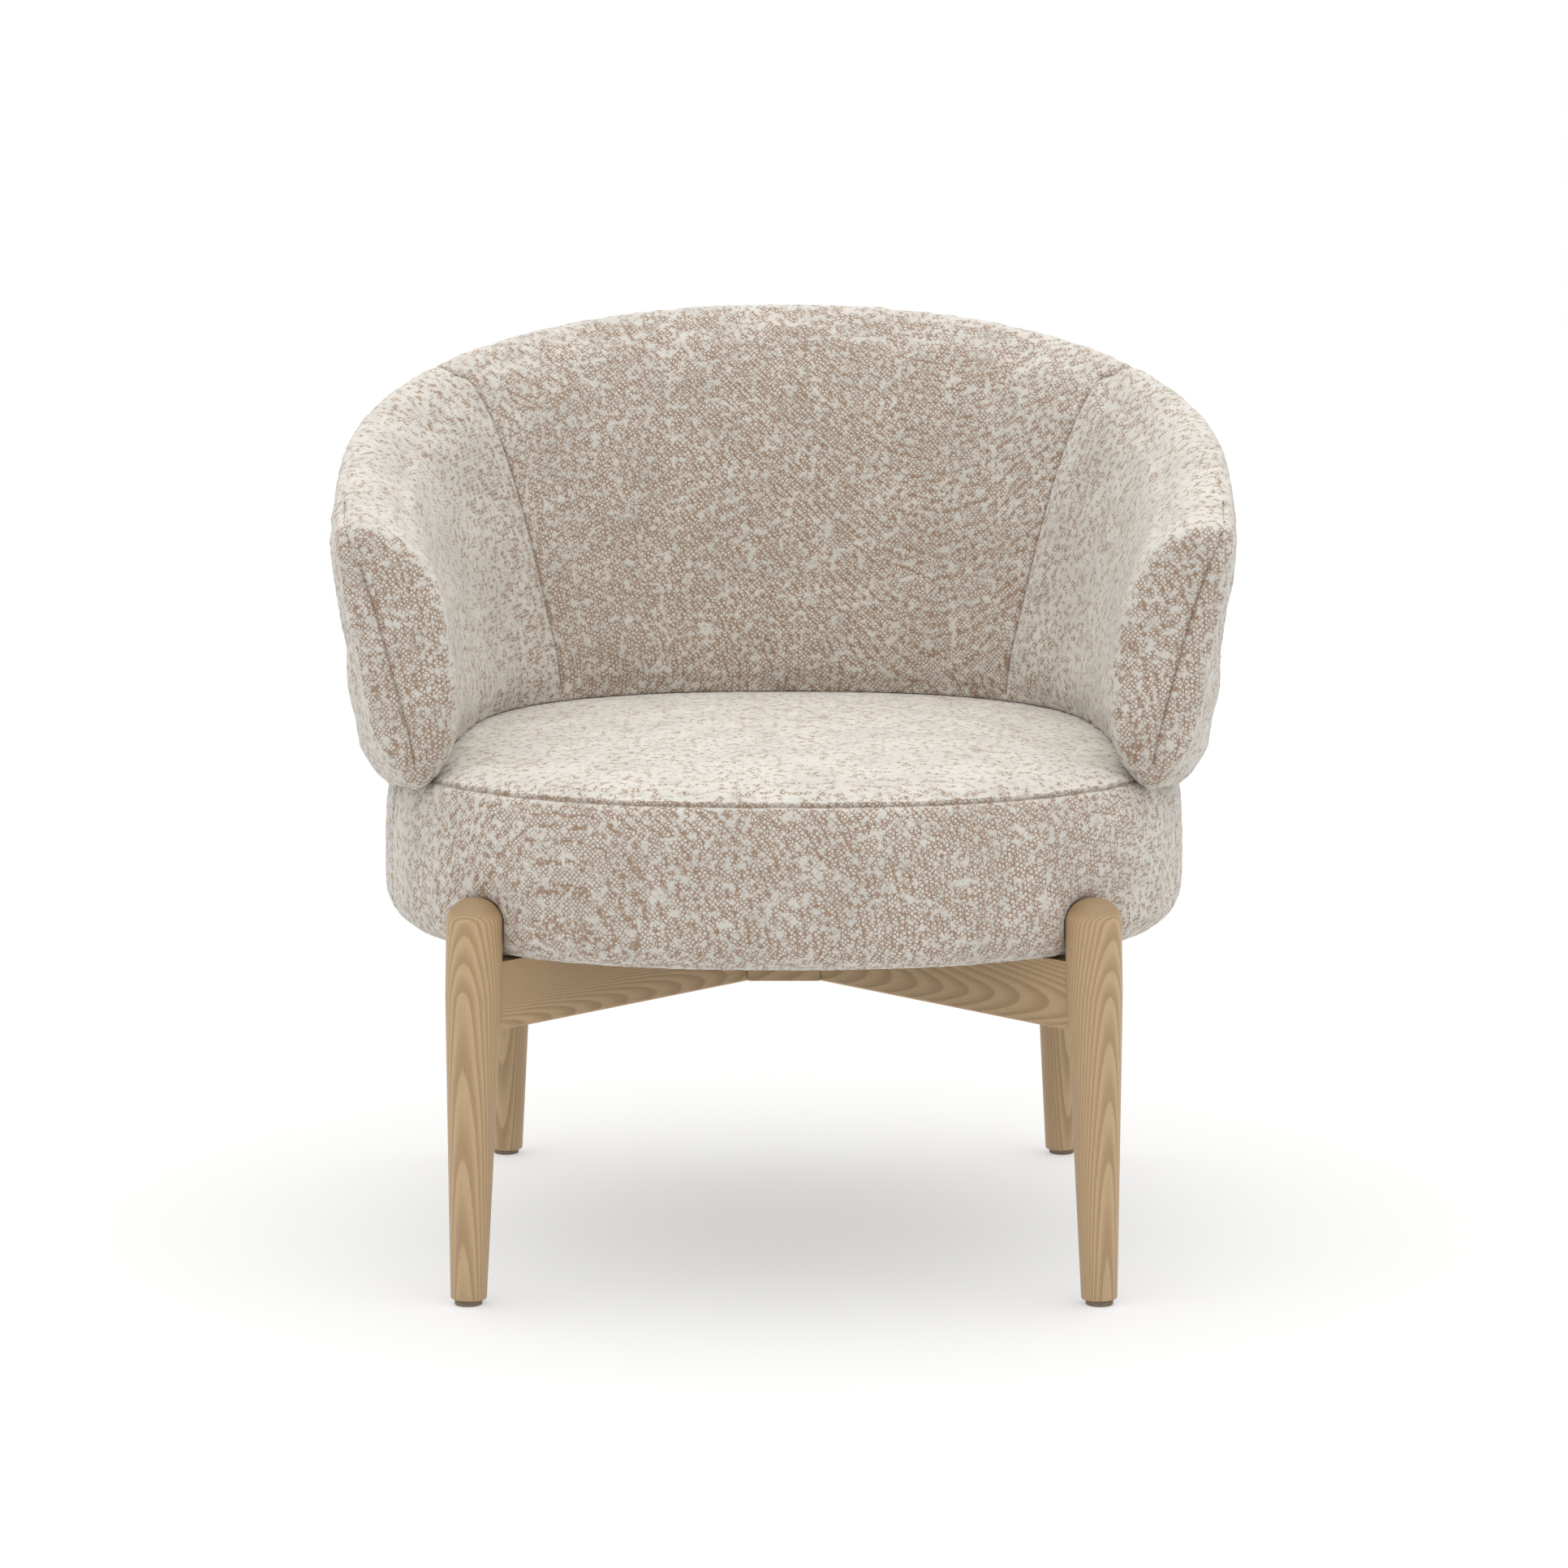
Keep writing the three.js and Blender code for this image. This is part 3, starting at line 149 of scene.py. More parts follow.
def new_material(name):
    """An empty node material with its tree and its shader."""
    material = bpy.data.materials.new(name)
    material.use_nodes = True
    tree = material.node_tree
    tree.nodes.clear()
    shader = node(tree, "ShaderNodeBsdfPrincipled")
    node(tree, "ShaderNodeOutputMaterial", links={"Surface": shader.outputs[0]})
    return material, tree, shader


def mix_colours(tree, factor, first, second):
    """Two colours mixed by a factor; each is a colour or an output."""
    made = node(tree, "ShaderNodeMix", {}, {0: factor}, data_type="RGBA")
    for socket, given in ((6, first), (7, second)):
        if isinstance(given, bpy.types.NodeSocket):
            tree.links.new(given, made.inputs[socket])
        else:
            made.inputs[socket].default_value = [*given, 1]
    return made.outputs[2]


def calculate(tree, operation, first, second):
    """A Math node of two outputs or numbers."""
    made = node(tree, "ShaderNodeMath", operation=operation)
    for socket, given in ((0, first), (1, second)):
        if isinstance(given, bpy.types.NodeSocket):
            tree.links.new(given, made.inputs[socket])
        else:
            made.inputs[socket].default_value = given
    return made.outputs[0]


def ramp(tree, value, start, end, low=0.0, high=1.0):
    """A smooth step of a value from one range to another."""
    return node(
        tree, "ShaderNodeMapRange",
        {"From Min": start, "From Max": end, "To Min": low, "To Max": high}, {"Value": value},
        interpolation_type="SMOOTHSTEP").outputs[0]


def place(tree, turn=(0, 0, 0), shift=(0, 0, 0), stretch=(1, 1, 1)):
    """Object coordinates, turned, shifted and stretched."""
    spot = node(tree, "ShaderNodeTexCoord")
    return node(
        tree, "ShaderNodeMapping", {"Rotation": turn, "Location": shift, "Scale": stretch},
        {"Vector": spot.outputs["Object"]}).outputs[0]


def boucle(fabric):
    """Wool boucle: a fine slanting weave of cream knots on tan yarn, with thick soft loops."""
    material, tree, shader = new_material("Wool boucle")
    spot = place(tree, turn=(math.radians(20), math.radians(45), math.radians(35)))
    # The tan yarn shows as fine lines round each knot, drawn a little coarser than woven.
    cell = node(tree, "ShaderNodeTexVoronoi",
                {"Scale": 1 / fabric.pitch, "Randomness": 0.5}, {"Vector": spot},
                feature="DISTANCE_TO_EDGE").outputs["Distance"]
    line = ramp(tree, cell, 0.03, 0.24, 1, 0)
    # Thick loops cover the tan yarn. Painted light and shade: faces turned up or aside get more
    # cream loops and show lighter, and faces turned to the front show more tan yarn and look
    # darker.
    patch = node(tree, "ShaderNodeTexNoise",
                 {"Scale": 1 / fabric.nub, "Detail": 1.5, "Roughness": 0.5},
                 {"Vector": place(tree)}).outputs[0]
    facing = node(tree, "ShaderNodeSeparateXYZ",
                  links={0: node(tree, "ShaderNodeNewGeometry").outputs["Normal"]})
    forward = calculate(tree, "ABSOLUTE", facing.outputs["Y"], 0)
    # Painted shade by facing: cover turned to the front is drawn with fewer loops and more dark
    # yarn.
    painted_facing_shade = ramp(tree, forward, 0.1, 0.95, -0.12, 0.03)
    loops = ramp(tree, calculate(tree, "SUBTRACT", patch, painted_facing_shade), 0.44, 0.66)
    shown = calculate(tree, "MULTIPLY", line, calculate(tree, "SUBTRACT", 1, loops))
    # Slow changes of tone, as in a batch of natural wool.
    tone = node(tree, "ShaderNodeTexNoise", {"Scale": 1 / (45 * MM), "Detail": 2},
                {"Vector": place(tree)}).outputs[0]
    shade = [c * 0.9 for c in fabric.loop]
    wool = mix_colours(tree, ramp(tree, tone, 0.35, 0.65), shade, list(fabric.loop))
    cloth = mix_colours(tree, shown, wool, list(fabric.ground))
    # Painted shade along the seams: the crease mask darkens the cloth towards the thread colour,
    # partly for the thread and partly as painted shade in the groove.
    crease = node(tree, "ShaderNodeAttribute", attribute_name="crease").outputs["Fac"]
    sewn = mix_colours(tree, calculate(tree, "MULTIPLY", crease, 0.6), cloth,
                       list(fabric.thread))
    tree.links.new(sewn, shader.inputs["Base Color"])
    # The relief of knots and loops, too fine for the mesh.
    knots = ramp(tree, cell, 0, 0.32)
    height = calculate(tree, "ADD", calculate(tree, "MULTIPLY", knots, 0.6), loops)
    bump = node(tree, "ShaderNodeBump", {"Strength": 0.7, "Distance": 0.6 * MM},
                {"Height": height})
    tree.links.new(bump.outputs[0], shader.inputs["Normal"])
    shader.inputs["Roughness"].default_value = 0.95
    shader.inputs["Specular IOR Level"].default_value = 0.25
    shader.inputs["Sheen Weight"].default_value = 0.2
    shader.inputs["Sheen Roughness"].default_value = 0.6
    return material


def ash(timber, name, centre, along):
    """Ash, turned or planed and oiled: pale wood, darker year rings and short open pores.

    The rings lie round a line through centre that runs along a direction.
    """
    material, tree, shader = new_material(name)
    turn = Vector(along).to_track_quat("Z", "Y").inverted().to_euler()
    moved = Vector(centre)
    moved.rotate(turn)
    spot = place(tree, turn=turn, shift=-moved)
    # A tree is never quite straight: the rings wander along the grain.
    wander = node(tree, "ShaderNodeTexNoise", {"Scale": 1, "Detail": 2, "Roughness": 0.5},
                  {"Vector": node(tree, "ShaderNodeVectorMath", {1: (14, 14, 2.4)},
                                  {0: spot}, operation="MULTIPLY").outputs[0]})
    offset = node(tree, "ShaderNodeVectorMath", {1: (7 * MM, 7 * MM, 0)},
                  {0: wander.outputs["Color"]}, operation="MULTIPLY").outputs[0]
    bent = node(tree, "ShaderNodeVectorMath", links={0: spot, 1: offset},
                operation="ADD").outputs[0]
    flat = node(tree, "ShaderNodeVectorMath", {1: (1, 1, 0)}, {0: bent}, operation="MULTIPLY")
    radius = node(tree, "ShaderNodeVectorMath", links={0: flat.outputs[0]},
                  operation="LENGTH").outputs["Value"]
    year = calculate(tree, "FRACT", calculate(tree, "DIVIDE", radius, timber.ring), 0)
    rings = calculate(tree, "MULTIPLY", ramp(tree, year, 0.15, 0.86), ramp(tree, year, 1, 0.9))
    pores = node(tree, "ShaderNodeTexNoise", {"Scale": 1, "Detail": 3, "Roughness": 0.7},
                 {"Vector": node(tree, "ShaderNodeVectorMath", {1: (1500, 1500, 55)},
                                 {0: spot}, operation="MULTIPLY").outputs[0]}).outputs[0]
    specks = ramp(tree, pores, 0.56, 0.7)
    plain = mix_colours(tree, calculate(tree, "MULTIPLY", rings, 0.55),
                        list(timber.early), list(timber.late))
    grain = calculate(tree, "MULTIPLY", specks, 0.35)
    dark = [c * 0.72 for c in timber.late]
    worked = mix_colours(tree, grain, plain, dark)
    # End grain drinks more oil and is darker.
    across = node(tree, "ShaderNodeVectorMath", {1: Vector(along).normalized()},
                  {0: node(tree, "ShaderNodeNewGeometry").outputs["Normal"]},
                  operation="DOT_PRODUCT").outputs["Value"]
    ends = ramp(tree, calculate(tree, "ABSOLUTE", across, 0), 0.2, 0.75, 0, 0.5)
    tree.links.new(mix_colours(tree, ends, worked, dark), shader.inputs["Base Color"])
    tree.links.new(ramp(tree, specks, 0, 1, 0.48, 0.62), shader.inputs["Roughness"])
    relief = calculate(tree, "ADD", calculate(tree, "MULTIPLY", rings, 0.3), specks)
    bump = node(tree, "ShaderNodeBump", {"Strength": 0.25, "Distance": 0.12 * MM},
                {"Height": relief}, invert=True)
    tree.links.new(bump.outputs[0], shader.inputs["Normal"])
    return material


def mottled(name, base, second, grain, roughness, metallic=0.0, relief=0.05, stretch=(1, 1, 1)):
    """A finish of two close tones in a fine noise with a little relief."""
    material, tree, shader = new_material(name)
    pattern = node(tree, "ShaderNodeTexNoise", {"Scale": 1 / (grain * MM), "Detail": 3},
                   {"Vector": place(tree, stretch=stretch)}).outputs[0]
    mixed = mix_colours(tree, ramp(tree, pattern, 0.35, 0.65), linear(base), linear(second))
    tree.links.new(mixed, shader.inputs["Base Color"])
    bump = node(tree, "ShaderNodeBump", {"Strength": 0.3, "Distance": relief * MM},
                {"Height": pattern})
    tree.links.new(bump.outputs[0], shader.inputs["Normal"])
    shader.inputs["Roughness"].default_value = roughness
    shader.inputs["Metallic"].default_value = metallic
    return material


def plywood():
    """Sanded beech plywood, 1.5 mm veneers seen at the edge as bands along its height."""
    return mottled("Beech plywood", "#cbb088", "#b99a70", 1.5, 0.7, stretch=(0.05, 0.05, 1))


def webbing():
    """Elastic webbing: black rubber cores wrapped in yarn, ribbed across."""
    return mottled("Elastic webbing", "#3a3632", "#4e4943", 1.6, 0.85, relief=0.3)


def lining():
    """Black spun-bonded lining: matt fibre felt."""
    return mottled("Spun-bonded lining", "#1d1c1c", "#2c2b2a", 1.2, 0.92, relief=0.15)


def zinc():
    """Zinc-plated steel: pale metal with a faint spangle."""
    return mottled("Zinc-plated steel", "#b9bbbd", "#a4a7aa", 2.5, 0.38, metallic=1.0,
                   relief=0.02)


def glide_plastic():
    """Moulded polyethylene, grey-brown and slightly scuffed."""
    return mottled("Grey-brown polyethylene", "#857565", "#736455", 1.8, 0.55, relief=0.05)


def sewing_thread(fabric):
    """Bonded polyester thread, two plies twisted: thin slanting ridges."""
    material, tree, shader = new_material("Polyester thread")
    ply = node(tree, "ShaderNodeTexWave", {"Scale": 1 / (1.2 * MM)},
               {"Vector": place(tree, turn=(0.6, 0.6, 0.6))}, wave_type="BANDS")
    dark = [c * 0.7 for c in fabric.thread]
    tree.links.new(mix_colours(tree, ply.outputs["Fac"], dark, list(fabric.thread)),
                   shader.inputs["Base Color"])
    shader.inputs["Roughness"].default_value = 0.7
    return material


def light_table(stage):
    """Opal acrylic lit from below: an even pale glow that keeps shadows thin, faintly cloudy."""
    material, tree, shader = new_material("Opal acrylic")
    cloud = node(tree, "ShaderNodeTexNoise", {"Scale": 1 / (300 * MM), "Detail": 2},
                 {"Vector": place(tree)}).outputs[0]
    dull = [c * 0.985 for c in stage.floor]
    tree.links.new(mix_colours(tree, cloud, dull, list(stage.floor)),
                   shader.inputs["Base Color"])
    shader.inputs["Roughness"].default_value = 0.9
    shader.inputs["Specular IOR Level"].default_value = 0.1
    shader.inputs["Emission Color"].default_value = (1, 1, 1, 1)
    shader.inputs["Emission Strength"].default_value = stage.glow
    return material


def give_material(piece, material):
    """Puts one material on all of a piece."""
    if not piece.material_slots:
        piece.data.materials.append(material)
    for slot in piece.material_slots:
        slot.material = material


# ---------------------------------------------------------------- mesh work
# Curls are finer than loops; both lie calm on a seam and reach their height at a distance.
CURL_SHARE = 0.45
CALM_REACH = (0.5 * MM, 4 * MM)
# A seam is a crease at the bottom of a groove, painted dark as thread and as shade in the groove,
# with the cover puffed up beside it.
CREASE_WIDTH = 1.3 * MM
GROOVE_DEPTH = 1.5 * MM
GROOVE_WIDTH = 1.9 * MM
PUFF_HEIGHT = 0.5 * MM
PUFF_CENTRE = 6 * MM
PUFF_WIDTH = 3.5 * MM
# A ridge seam has its allowance folded up, so a thin roll stands above its line.
RIDGE_HEIGHT = 1.5 * MM
RIDGE_CENTRE = 2.6 * MM
RIDGE_WIDTH = 1.7 * MM
# The mesh is made finer within this distance of a seam.
REFINED_REACH = 8 * MM


def select_only(piece):
    """Selects one object and makes it the active one."""
    bpy.ops.object.select_all(action="DESELECT")
    piece.select_set(True)
    bpy.context.view_layer.objects.active = piece


def read_points(mesh):
    """A mesh's vertices, one row each."""
    points = np.empty(len(mesh.vertices) * 3)
    mesh.vertices.foreach_get("co", points)
    return points.reshape(-1, 3)


def read_normals(mesh):
    """The normals at a mesh's vertices, one row each."""
    normals = np.empty(len(mesh.vertices) * 3)
    mesh.vertices.foreach_get("normal", normals)
    return normals.reshape(-1, 3)


def write_points(mesh, points):
    """Moves a mesh's vertices to new places."""
    mesh.vertices.foreach_set("co", points.astype(np.float32).ravel())
    mesh.update()


def apply_modifier(piece, kind, **settings):
    """Adds a modifier with its settings and applies it."""
    select_only(piece)
    made = piece.modifiers.new(kind.title(), kind)
    for key, value in settings.items():
        setattr(made, key, value)
    bpy.ops.object.modifier_apply(modifier=made.name)


def surface(piece):
    """A search tree of a piece's faces."""
    mesh = piece.data
    return BVHTree.FromPolygons([v.co for v in mesh.vertices], [p.vertices for p in mesh.polygons])


def joined_copy(name, nodes):
    """One new object with copies of some CAD nodes' meshes."""
    bpy.ops.object.select_all(action="DESELECT")
    for title in nodes:
        copy = bpy.data.objects.new(name, frame["nodes"][title].data.copy())
        copy.data.materials.clear()
        bpy.context.scene.collection.objects.link(copy)
        copy.select_set(True)
        bpy.context.view_layer.objects.active = copy
    bpy.ops.object.join()
    piece = bpy.context.view_layer.objects.active
    bpy.ops.object.mode_set(mode="EDIT")
    bpy.ops.mesh.select_all(action="SELECT")
    bpy.ops.mesh.remove_doubles(threshold=WELD_DISTANCE)
    bpy.ops.object.mode_set(mode="OBJECT")
    return piece


def fuse(piece, voxel):
    """Remeshes a piece and keeps only its outer skin."""
    apply_modifier(piece, "REMESH", mode="VOXEL", voxel_size=voxel)
    select_only(piece)
    bpy.ops.object.mode_set(mode="EDIT")
    bpy.ops.mesh.separate(type="LOOSE")
    bpy.ops.object.mode_set(mode="OBJECT")
    skins = sorted(bpy.context.selected_objects, key=lambda o: len(o.data.vertices))
    outer = skins.pop()
    for inner in skins:
        bpy.data.objects.remove(inner)
    select_only(outer)
    return outer


def dense(line, step=1 * MM):
    """A polyline with points at a small even step."""
    points = []
    for start, end in zip(line, line[1:]):
        count = max(1, round((end - start).length / step))
        points += [start.lerp(end, i / count) for i in range(count)]
    return points + [line[-1]]


def tree_of(lines):
    """A search tree of the points along some polylines."""
    points = [point for line in lines for point in dense(line)]
    tree = KDTree(len(points))
    for i, point in enumerate(points):
        tree.insert(point, i)
    tree.balance()
    return tree


def distances(points, lines):
    """Each point's distance from the nearest seam line, and its height above it."""
    tree = tree_of(lines)
    found = [tree.find(point) for point in points]
    away = np.array([f[2] for f in found])
    above = np.array([point[2] - f[0].z for point, f in zip(points, found)])
    return away, above


def smooth_share(values, start, end):
    """How far values lie between start and end, as a smooth step from 0 to 1."""
    share = np.clip((values - start) / (end - start), 0, 1)
    return share * share * (3 - 2 * share)


def swell(piece, padding, lines, fixed):
    """Shrinks a pad a little, fills it with air, and limits how far each point moves."""
    mesh = piece.data
    rest = read_points(mesh)
    normals = read_normals(mesh)
    start = rest - normals * padding.shrink * (1 - fixed)[:, None]
    write_points(mesh, start)
    group = piece.vertex_groups.new(name="held")
    for i in np.nonzero(fixed > 0)[0]:
        group.add([int(i)], float(fixed[i]), "REPLACE")
    select_only(piece)
    cloth = piece.modifiers.new("Cloth", "CLOTH")
    cloth.settings.use_pressure = True
    cloth.settings.uniform_pressure_force = padding.pressure
    cloth.settings.effector_weights.gravity = 0
    cloth.settings.vertex_group_mass = group.name
    cloth.settings.quality = 4
    cloth.collision_settings.use_collision = False
    cloth.point_cache.frame_start = 1
    cloth.point_cache.frame_end = padding.frames
    for step in range(1, padding.frames + 1):
        bpy.context.scene.frame_set(step)
    bpy.ops.object.modifier_apply(modifier=cloth.name)
    piece.vertex_groups.clear()
    bpy.context.scene.frame_set(1)
    moved = read_points(mesh)
    # Full away from the seams, thin on them, and still where the pad is held.
    away, _ = distances(start, lines)
    full = smooth_share(away, 0, padding.seam_width) * (1 - fixed)
    most = padding.seam_swell + (padding.swell - padding.seam_swell) * full
    step = moved - start
    outward = (step * normals).sum(1)
    aside = step - normals * outward[:, None]
    reach = np.maximum(np.linalg.norm(aside, axis=1), 1e-9)
    aside *= (np.minimum(reach, padding.shrink) / reach * full)[:, None]
    # The cover's tension draws round corners in; off the seams the pad keeps its full shape.
    least = padding.shrink * smooth_share(away, 0, padding.seam_width / 2)
    outward = np.clip(outward, least, np.maximum(most, least)) * (1 - fixed)
    write_points(mesh, start + normals * outward[:, None] + aside)
    apply_modifier(piece, "SMOOTH", factor=0.5, iterations=2)
    apply_modifier(piece, "SUBSURF", levels=1, render_levels=1)


def keep_clear(piece, neighbours, gap):
    """Moves a piece's points out of its neighbours, to a small gap from them."""
    margin = 12 * MM
    search_reach = 30 * MM
    mesh = piece.data
    points = read_points(mesh)
    for neighbour in neighbours:
        tree = surface(neighbour)
        low = np.array(neighbour.bound_box).min(0) - margin
        high = np.array(neighbour.bound_box).max(0) + margin
        near = np.nonzero(((points > low) & (points < high)).all(1))[0]
        for i in near:
            point = Vector(points[i])
            spot, normal, _, away = tree.find_nearest(point, search_reach)
            if spot is None:
                continue
            inside = (point - spot).dot(normal) < 0
            if inside or away < gap:
                points[i] = spot + normal * gap
    write_points(mesh, points)


def refine_along(piece, lines):
    """Halves the mesh along the seams, where the relief is finer."""
    away, _ = distances(read_points(piece.data), lines)
    near = away < REFINED_REACH
    select_only(piece)
    bpy.ops.object.mode_set(mode="EDIT")
    bpy.ops.mesh.select_all(action="DESELECT")
    bpy.ops.object.mode_set(mode="OBJECT")
    for polygon in piece.data.polygons:
        polygon.select = all(near[i] for i in polygon.vertices)
    bpy.ops.object.mode_set(mode="EDIT")
    bpy.ops.mesh.select_mode(type="FACE")
    bpy.ops.mesh.subdivide(number_cuts=1)
    bpy.ops.object.mode_set(mode="OBJECT")


def bell(away, centre, width):
    """A bell curve over the distance from a seam."""
    return np.exp(-((away - centre) / width) ** 2)


def upholster(piece, fabric, seams, ridge_seams):
    """Raises the loops, draws in the seams, and lets the cover puff up beside them."""
    mesh = piece.data
    points = read_points(mesh)
    normals = read_normals(mesh)
    coarse = 1 / fabric.nub
    fine = 1 / (fabric.nub * CURL_SHARE)
    loops = np.array([noise.noise(Vector(p) * coarse) for p in points])
    curls = np.array([noise.noise(Vector(p) * fine) for p in points])
    lift = fabric.nub_height * (0.75 * loops + 0.45 * curls)
    away, _ = distances(points, seams)
    # The crease mask is painted darker on the cloth, as the thread and as painted shade in the seam
    # groove.
    crease = bell(away, 0, CREASE_WIDTH)
    lift = lift * smooth_share(away, *CALM_REACH) - GROOVE_DEPTH * bell(away, 0, GROOVE_WIDTH)
    if ridge_seams:
        away, above = distances(points, ridge_seams)
        lift += RIDGE_HEIGHT * bell(away, RIDGE_CENTRE, RIDGE_WIDTH) * (above > 0)
    lift += PUFF_HEIGHT * bell(away, PUFF_CENTRE, PUFF_WIDTH)
    write_points(mesh, points + normals * lift[:, None])
    attribute = mesh.attributes.new("crease", "FLOAT", "POINT")
    attribute.data.foreach_set("value", crease.astype(np.float32))


def on_surface(piece, line):
    """A line's points, each moved to the nearest point of a piece."""
    tree = surface(piece)
    return [tree.find_nearest(point)[0] for point in line]


def finish_piece(piece, name, material, slot, *nodes):
    """Names a piece, shades it and ties it to the frame."""
    piece.name = name
    piece.data.name = name
    give_material(piece, material)
    select_only(piece)
    bpy.ops.object.shade_smooth_by_angle(angle=math.radians(50))
    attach(piece, "root")
    if nodes:
        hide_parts(*nodes)


# ---------------------------------------------------------------- seat
SEAT_NODES = ("seat_foam", "seat_cover_top", "seat_band_front", "seat_band_rear")
SEAT_SQUARENESS = 2.4
SIDE_SEAM_ANGLE = math.radians(108)
# The upright seams start this share up the seat's side, and lean inward from there on.
SIDE_SEAM_START = 0.1
SIDE_SEAM_LEAN_START = 0.6
# The disc that fills the frame's recess: its height, and its share of the frame's size.
RECESS_FILL_HEIGHT = 45 * MM
RECESS_FILL_SHARE = (0.985, 0.93)
LINING_GAP = 1.2 * MM
LEG_GAP = 0.7 * MM


def seat_measures():
    """The seat's half width and half depth, and where its middle lies along Y."""
    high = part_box("seat_band_rear")[1]
    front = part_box("seat_band_front")[0].y
    return high.x, (high.y - front) / 2, (high.y + front) / 2


def outline_radius(angle, half_width, half_depth):
    """Radius of the seat's rounded-square outline at an angle from the rear."""
    across = np.abs(np.sin(angle)) / half_width
    along = np.abs(np.cos(angle)) / half_depth
    return (across ** SEAT_SQUARENESS + along ** SEAT_SQUARENESS) ** (-1 / SEAT_SQUARENESS)


def seat_point(angle, inset, height):
    """A point on the seat's side at an angle from the rear, moved inward by an inset."""
    half_width, half_depth, middle = seat_measures()
    radius = outline_radius(angle, half_width, half_depth) * (1 - inset / half_width)
    return Vector((radius * math.sin(angle), middle + radius * math.cos(angle), height))


def seat_seams():
    """The seam round the top, and the upright seams at the two sides."""
    low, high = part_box("seat_cover_top")
    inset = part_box("seat_band_rear")[1].x - high.x
    count = 180
    ring = [seat_point(2 * math.pi * i / count, inset, low.z) for i in range(count + 1)]
    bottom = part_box("seat_band_rear")[0].z
    steps = 16
    uprights = []
    for side in SIDES.values():
        line = []
        for i in range(steps + 1):
            share = i / steps
            lean = max(0, (share - SIDE_SEAM_LEAN_START) / (1 - SIDE_SEAM_LEAN_START)) ** 1.5
            rise = SIDE_SEAM_START + (1 - SIDE_SEAM_START) * share
            height = bottom + (low.z - bottom) * rise
            line.append(seat_point(side * SIDE_SEAM_ANGLE, inset * lean, height))
        uprights.append(line)
    return ring, uprights


class CHAIR_OT_seat(bpy.types.Operator):
    """Fills and upholsters the seat cushion"""
    bl_idname = "chair.seat"
    bl_label = "Seat cushion"

    def execute(self, context):
        scene = context.scene
        ring, uprights = seat_seams()
        piece = joined_copy("seat_cushion", SEAT_NODES)
        low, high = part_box("seat_foam")
        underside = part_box("dust_cover")[1].z + LINING_GAP
        # The frame's recess is filled, because the lining hides it from below.
        frame_half_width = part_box("seat_frame_rear_right")[1].x
        share_across, share_along = RECESS_FILL_SHARE
        bpy.ops.mesh.primitive_cylinder_add(
            vertices=96, radius=1, depth=RECESS_FILL_HEIGHT,
            location=(0, (low.y + high.y) / 2, underside + RECESS_FILL_HEIGHT / 2))
        fill = context.object
        fill.scale = (frame_half_width * share_across, (high.y - low.y) / 2 * share_along, 1)
        bpy.ops.object.transform_apply(location=True, rotation=True, scale=True)
        piece.select_set(True)
        context.view_layer.objects.active = piece
        bpy.ops.object.join()
        piece = fuse(piece, scene.chair_padding.voxel)
        points = read_points(piece.data)
        # The underside is tacked to the frame and stays where it is, inside its rounded edge.
        half_width, half_depth, middle = seat_measures()
        across, along = points[:, 0], points[:, 1] - middle
        edge = outline_radius(np.arctan2(across, along), half_width, half_depth)
        inward = 1 - np.hypot(across, along) / edge
        fixed = smooth_share(inward, 0.06, 0.12) * (points[:, 2] < low.z + 12 * MM)
        swell(piece, scene.chair_padding, [ring, *uprights], fixed)
        ring = on_surface(piece, ring)
        uprights = [on_surface(piece, line) for line in uprights]
        refine_along(piece, [ring, *uprights])
        upholster(piece, scene.chair_fabric, [ring, *uprights], [ring])
        legs = [bpy.data.objects[f"leg_of_{corner}"] for corner in CORNERS]
        keep_clear(piece, legs, LEG_GAP)
        points = read_points(piece.data)
        reach = np.hypot(points[:, 0], points[:, 1])
        under = (points[:, 2] < underside) & (reach < frame_half_width * 0.8)
        points[under, 2] = underside
        write_points(piece.data, points)
        finish_piece(piece, "seat_cushion", boucle(scene.chair_fabric), "boucle", *SEAT_NODES)
        return {"FINISHED"}


# ---------------------------------------------------------------- back
BACK_NODES = ("back_foam", "arm_foam_left", "arm_foam_right", "back_cover_inner",
              "arm_cover_left", "arm_cover_right", "back_cover_outer")
BACK_RADIUS = 395 * MM
SEAT_GAP = 0.6 * MM
# Where the seam between back and arm runs, as angles from the rear: at the seat, at the top.
ARM_SEAM_LOW = math.radians(45)
ARM_SEAM_HIGH = math.radians(55)
# The seam down the front of the left arm, as x and z, from its outer top corner.
ARM_FRONT_SEAM = ((-0.364, 0.648), (-0.357, 0.627), (-0.344, 0.596), (-0.331, 0.556),
                  (-0.319, 0.509), (-0.308, 0.464), (-0.303, 0.436))


def back_middle():
    """The axis that the back curves round."""
    return Vector((0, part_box("back_cover_inner")[1].y - BACK_RADIUS, 0))


def crest_seam():
    """The seam between inner and outer covers: the outer cover's upper edge."""
    middle = back_middle()
    degrees_apart = 4
    tops = {}
    for vertex in frame["nodes"]["back_cover_outer"].data.vertices:
        angle = math.degrees(math.atan2(vertex.co.x, vertex.co.y - middle.y))
        key = round(angle / degrees_apart)
        if key not in tops or vertex.co.z > tops[key].z:
            tops[key] = vertex.co.copy()
    return [tops[key] for key in sorted(tops)]


def arm_front_seam(tree, side):
    """Down the front of an arm, from its outer top corner to the seat."""
    line = []
    for x, z in ARM_FRONT_SEAM:
        spot = tree.ray_cast(Vector((-side * x, -1, z)), Vector((0, 1, 0)))[0]
        if spot is not None:
            line.append(spot)
    return line


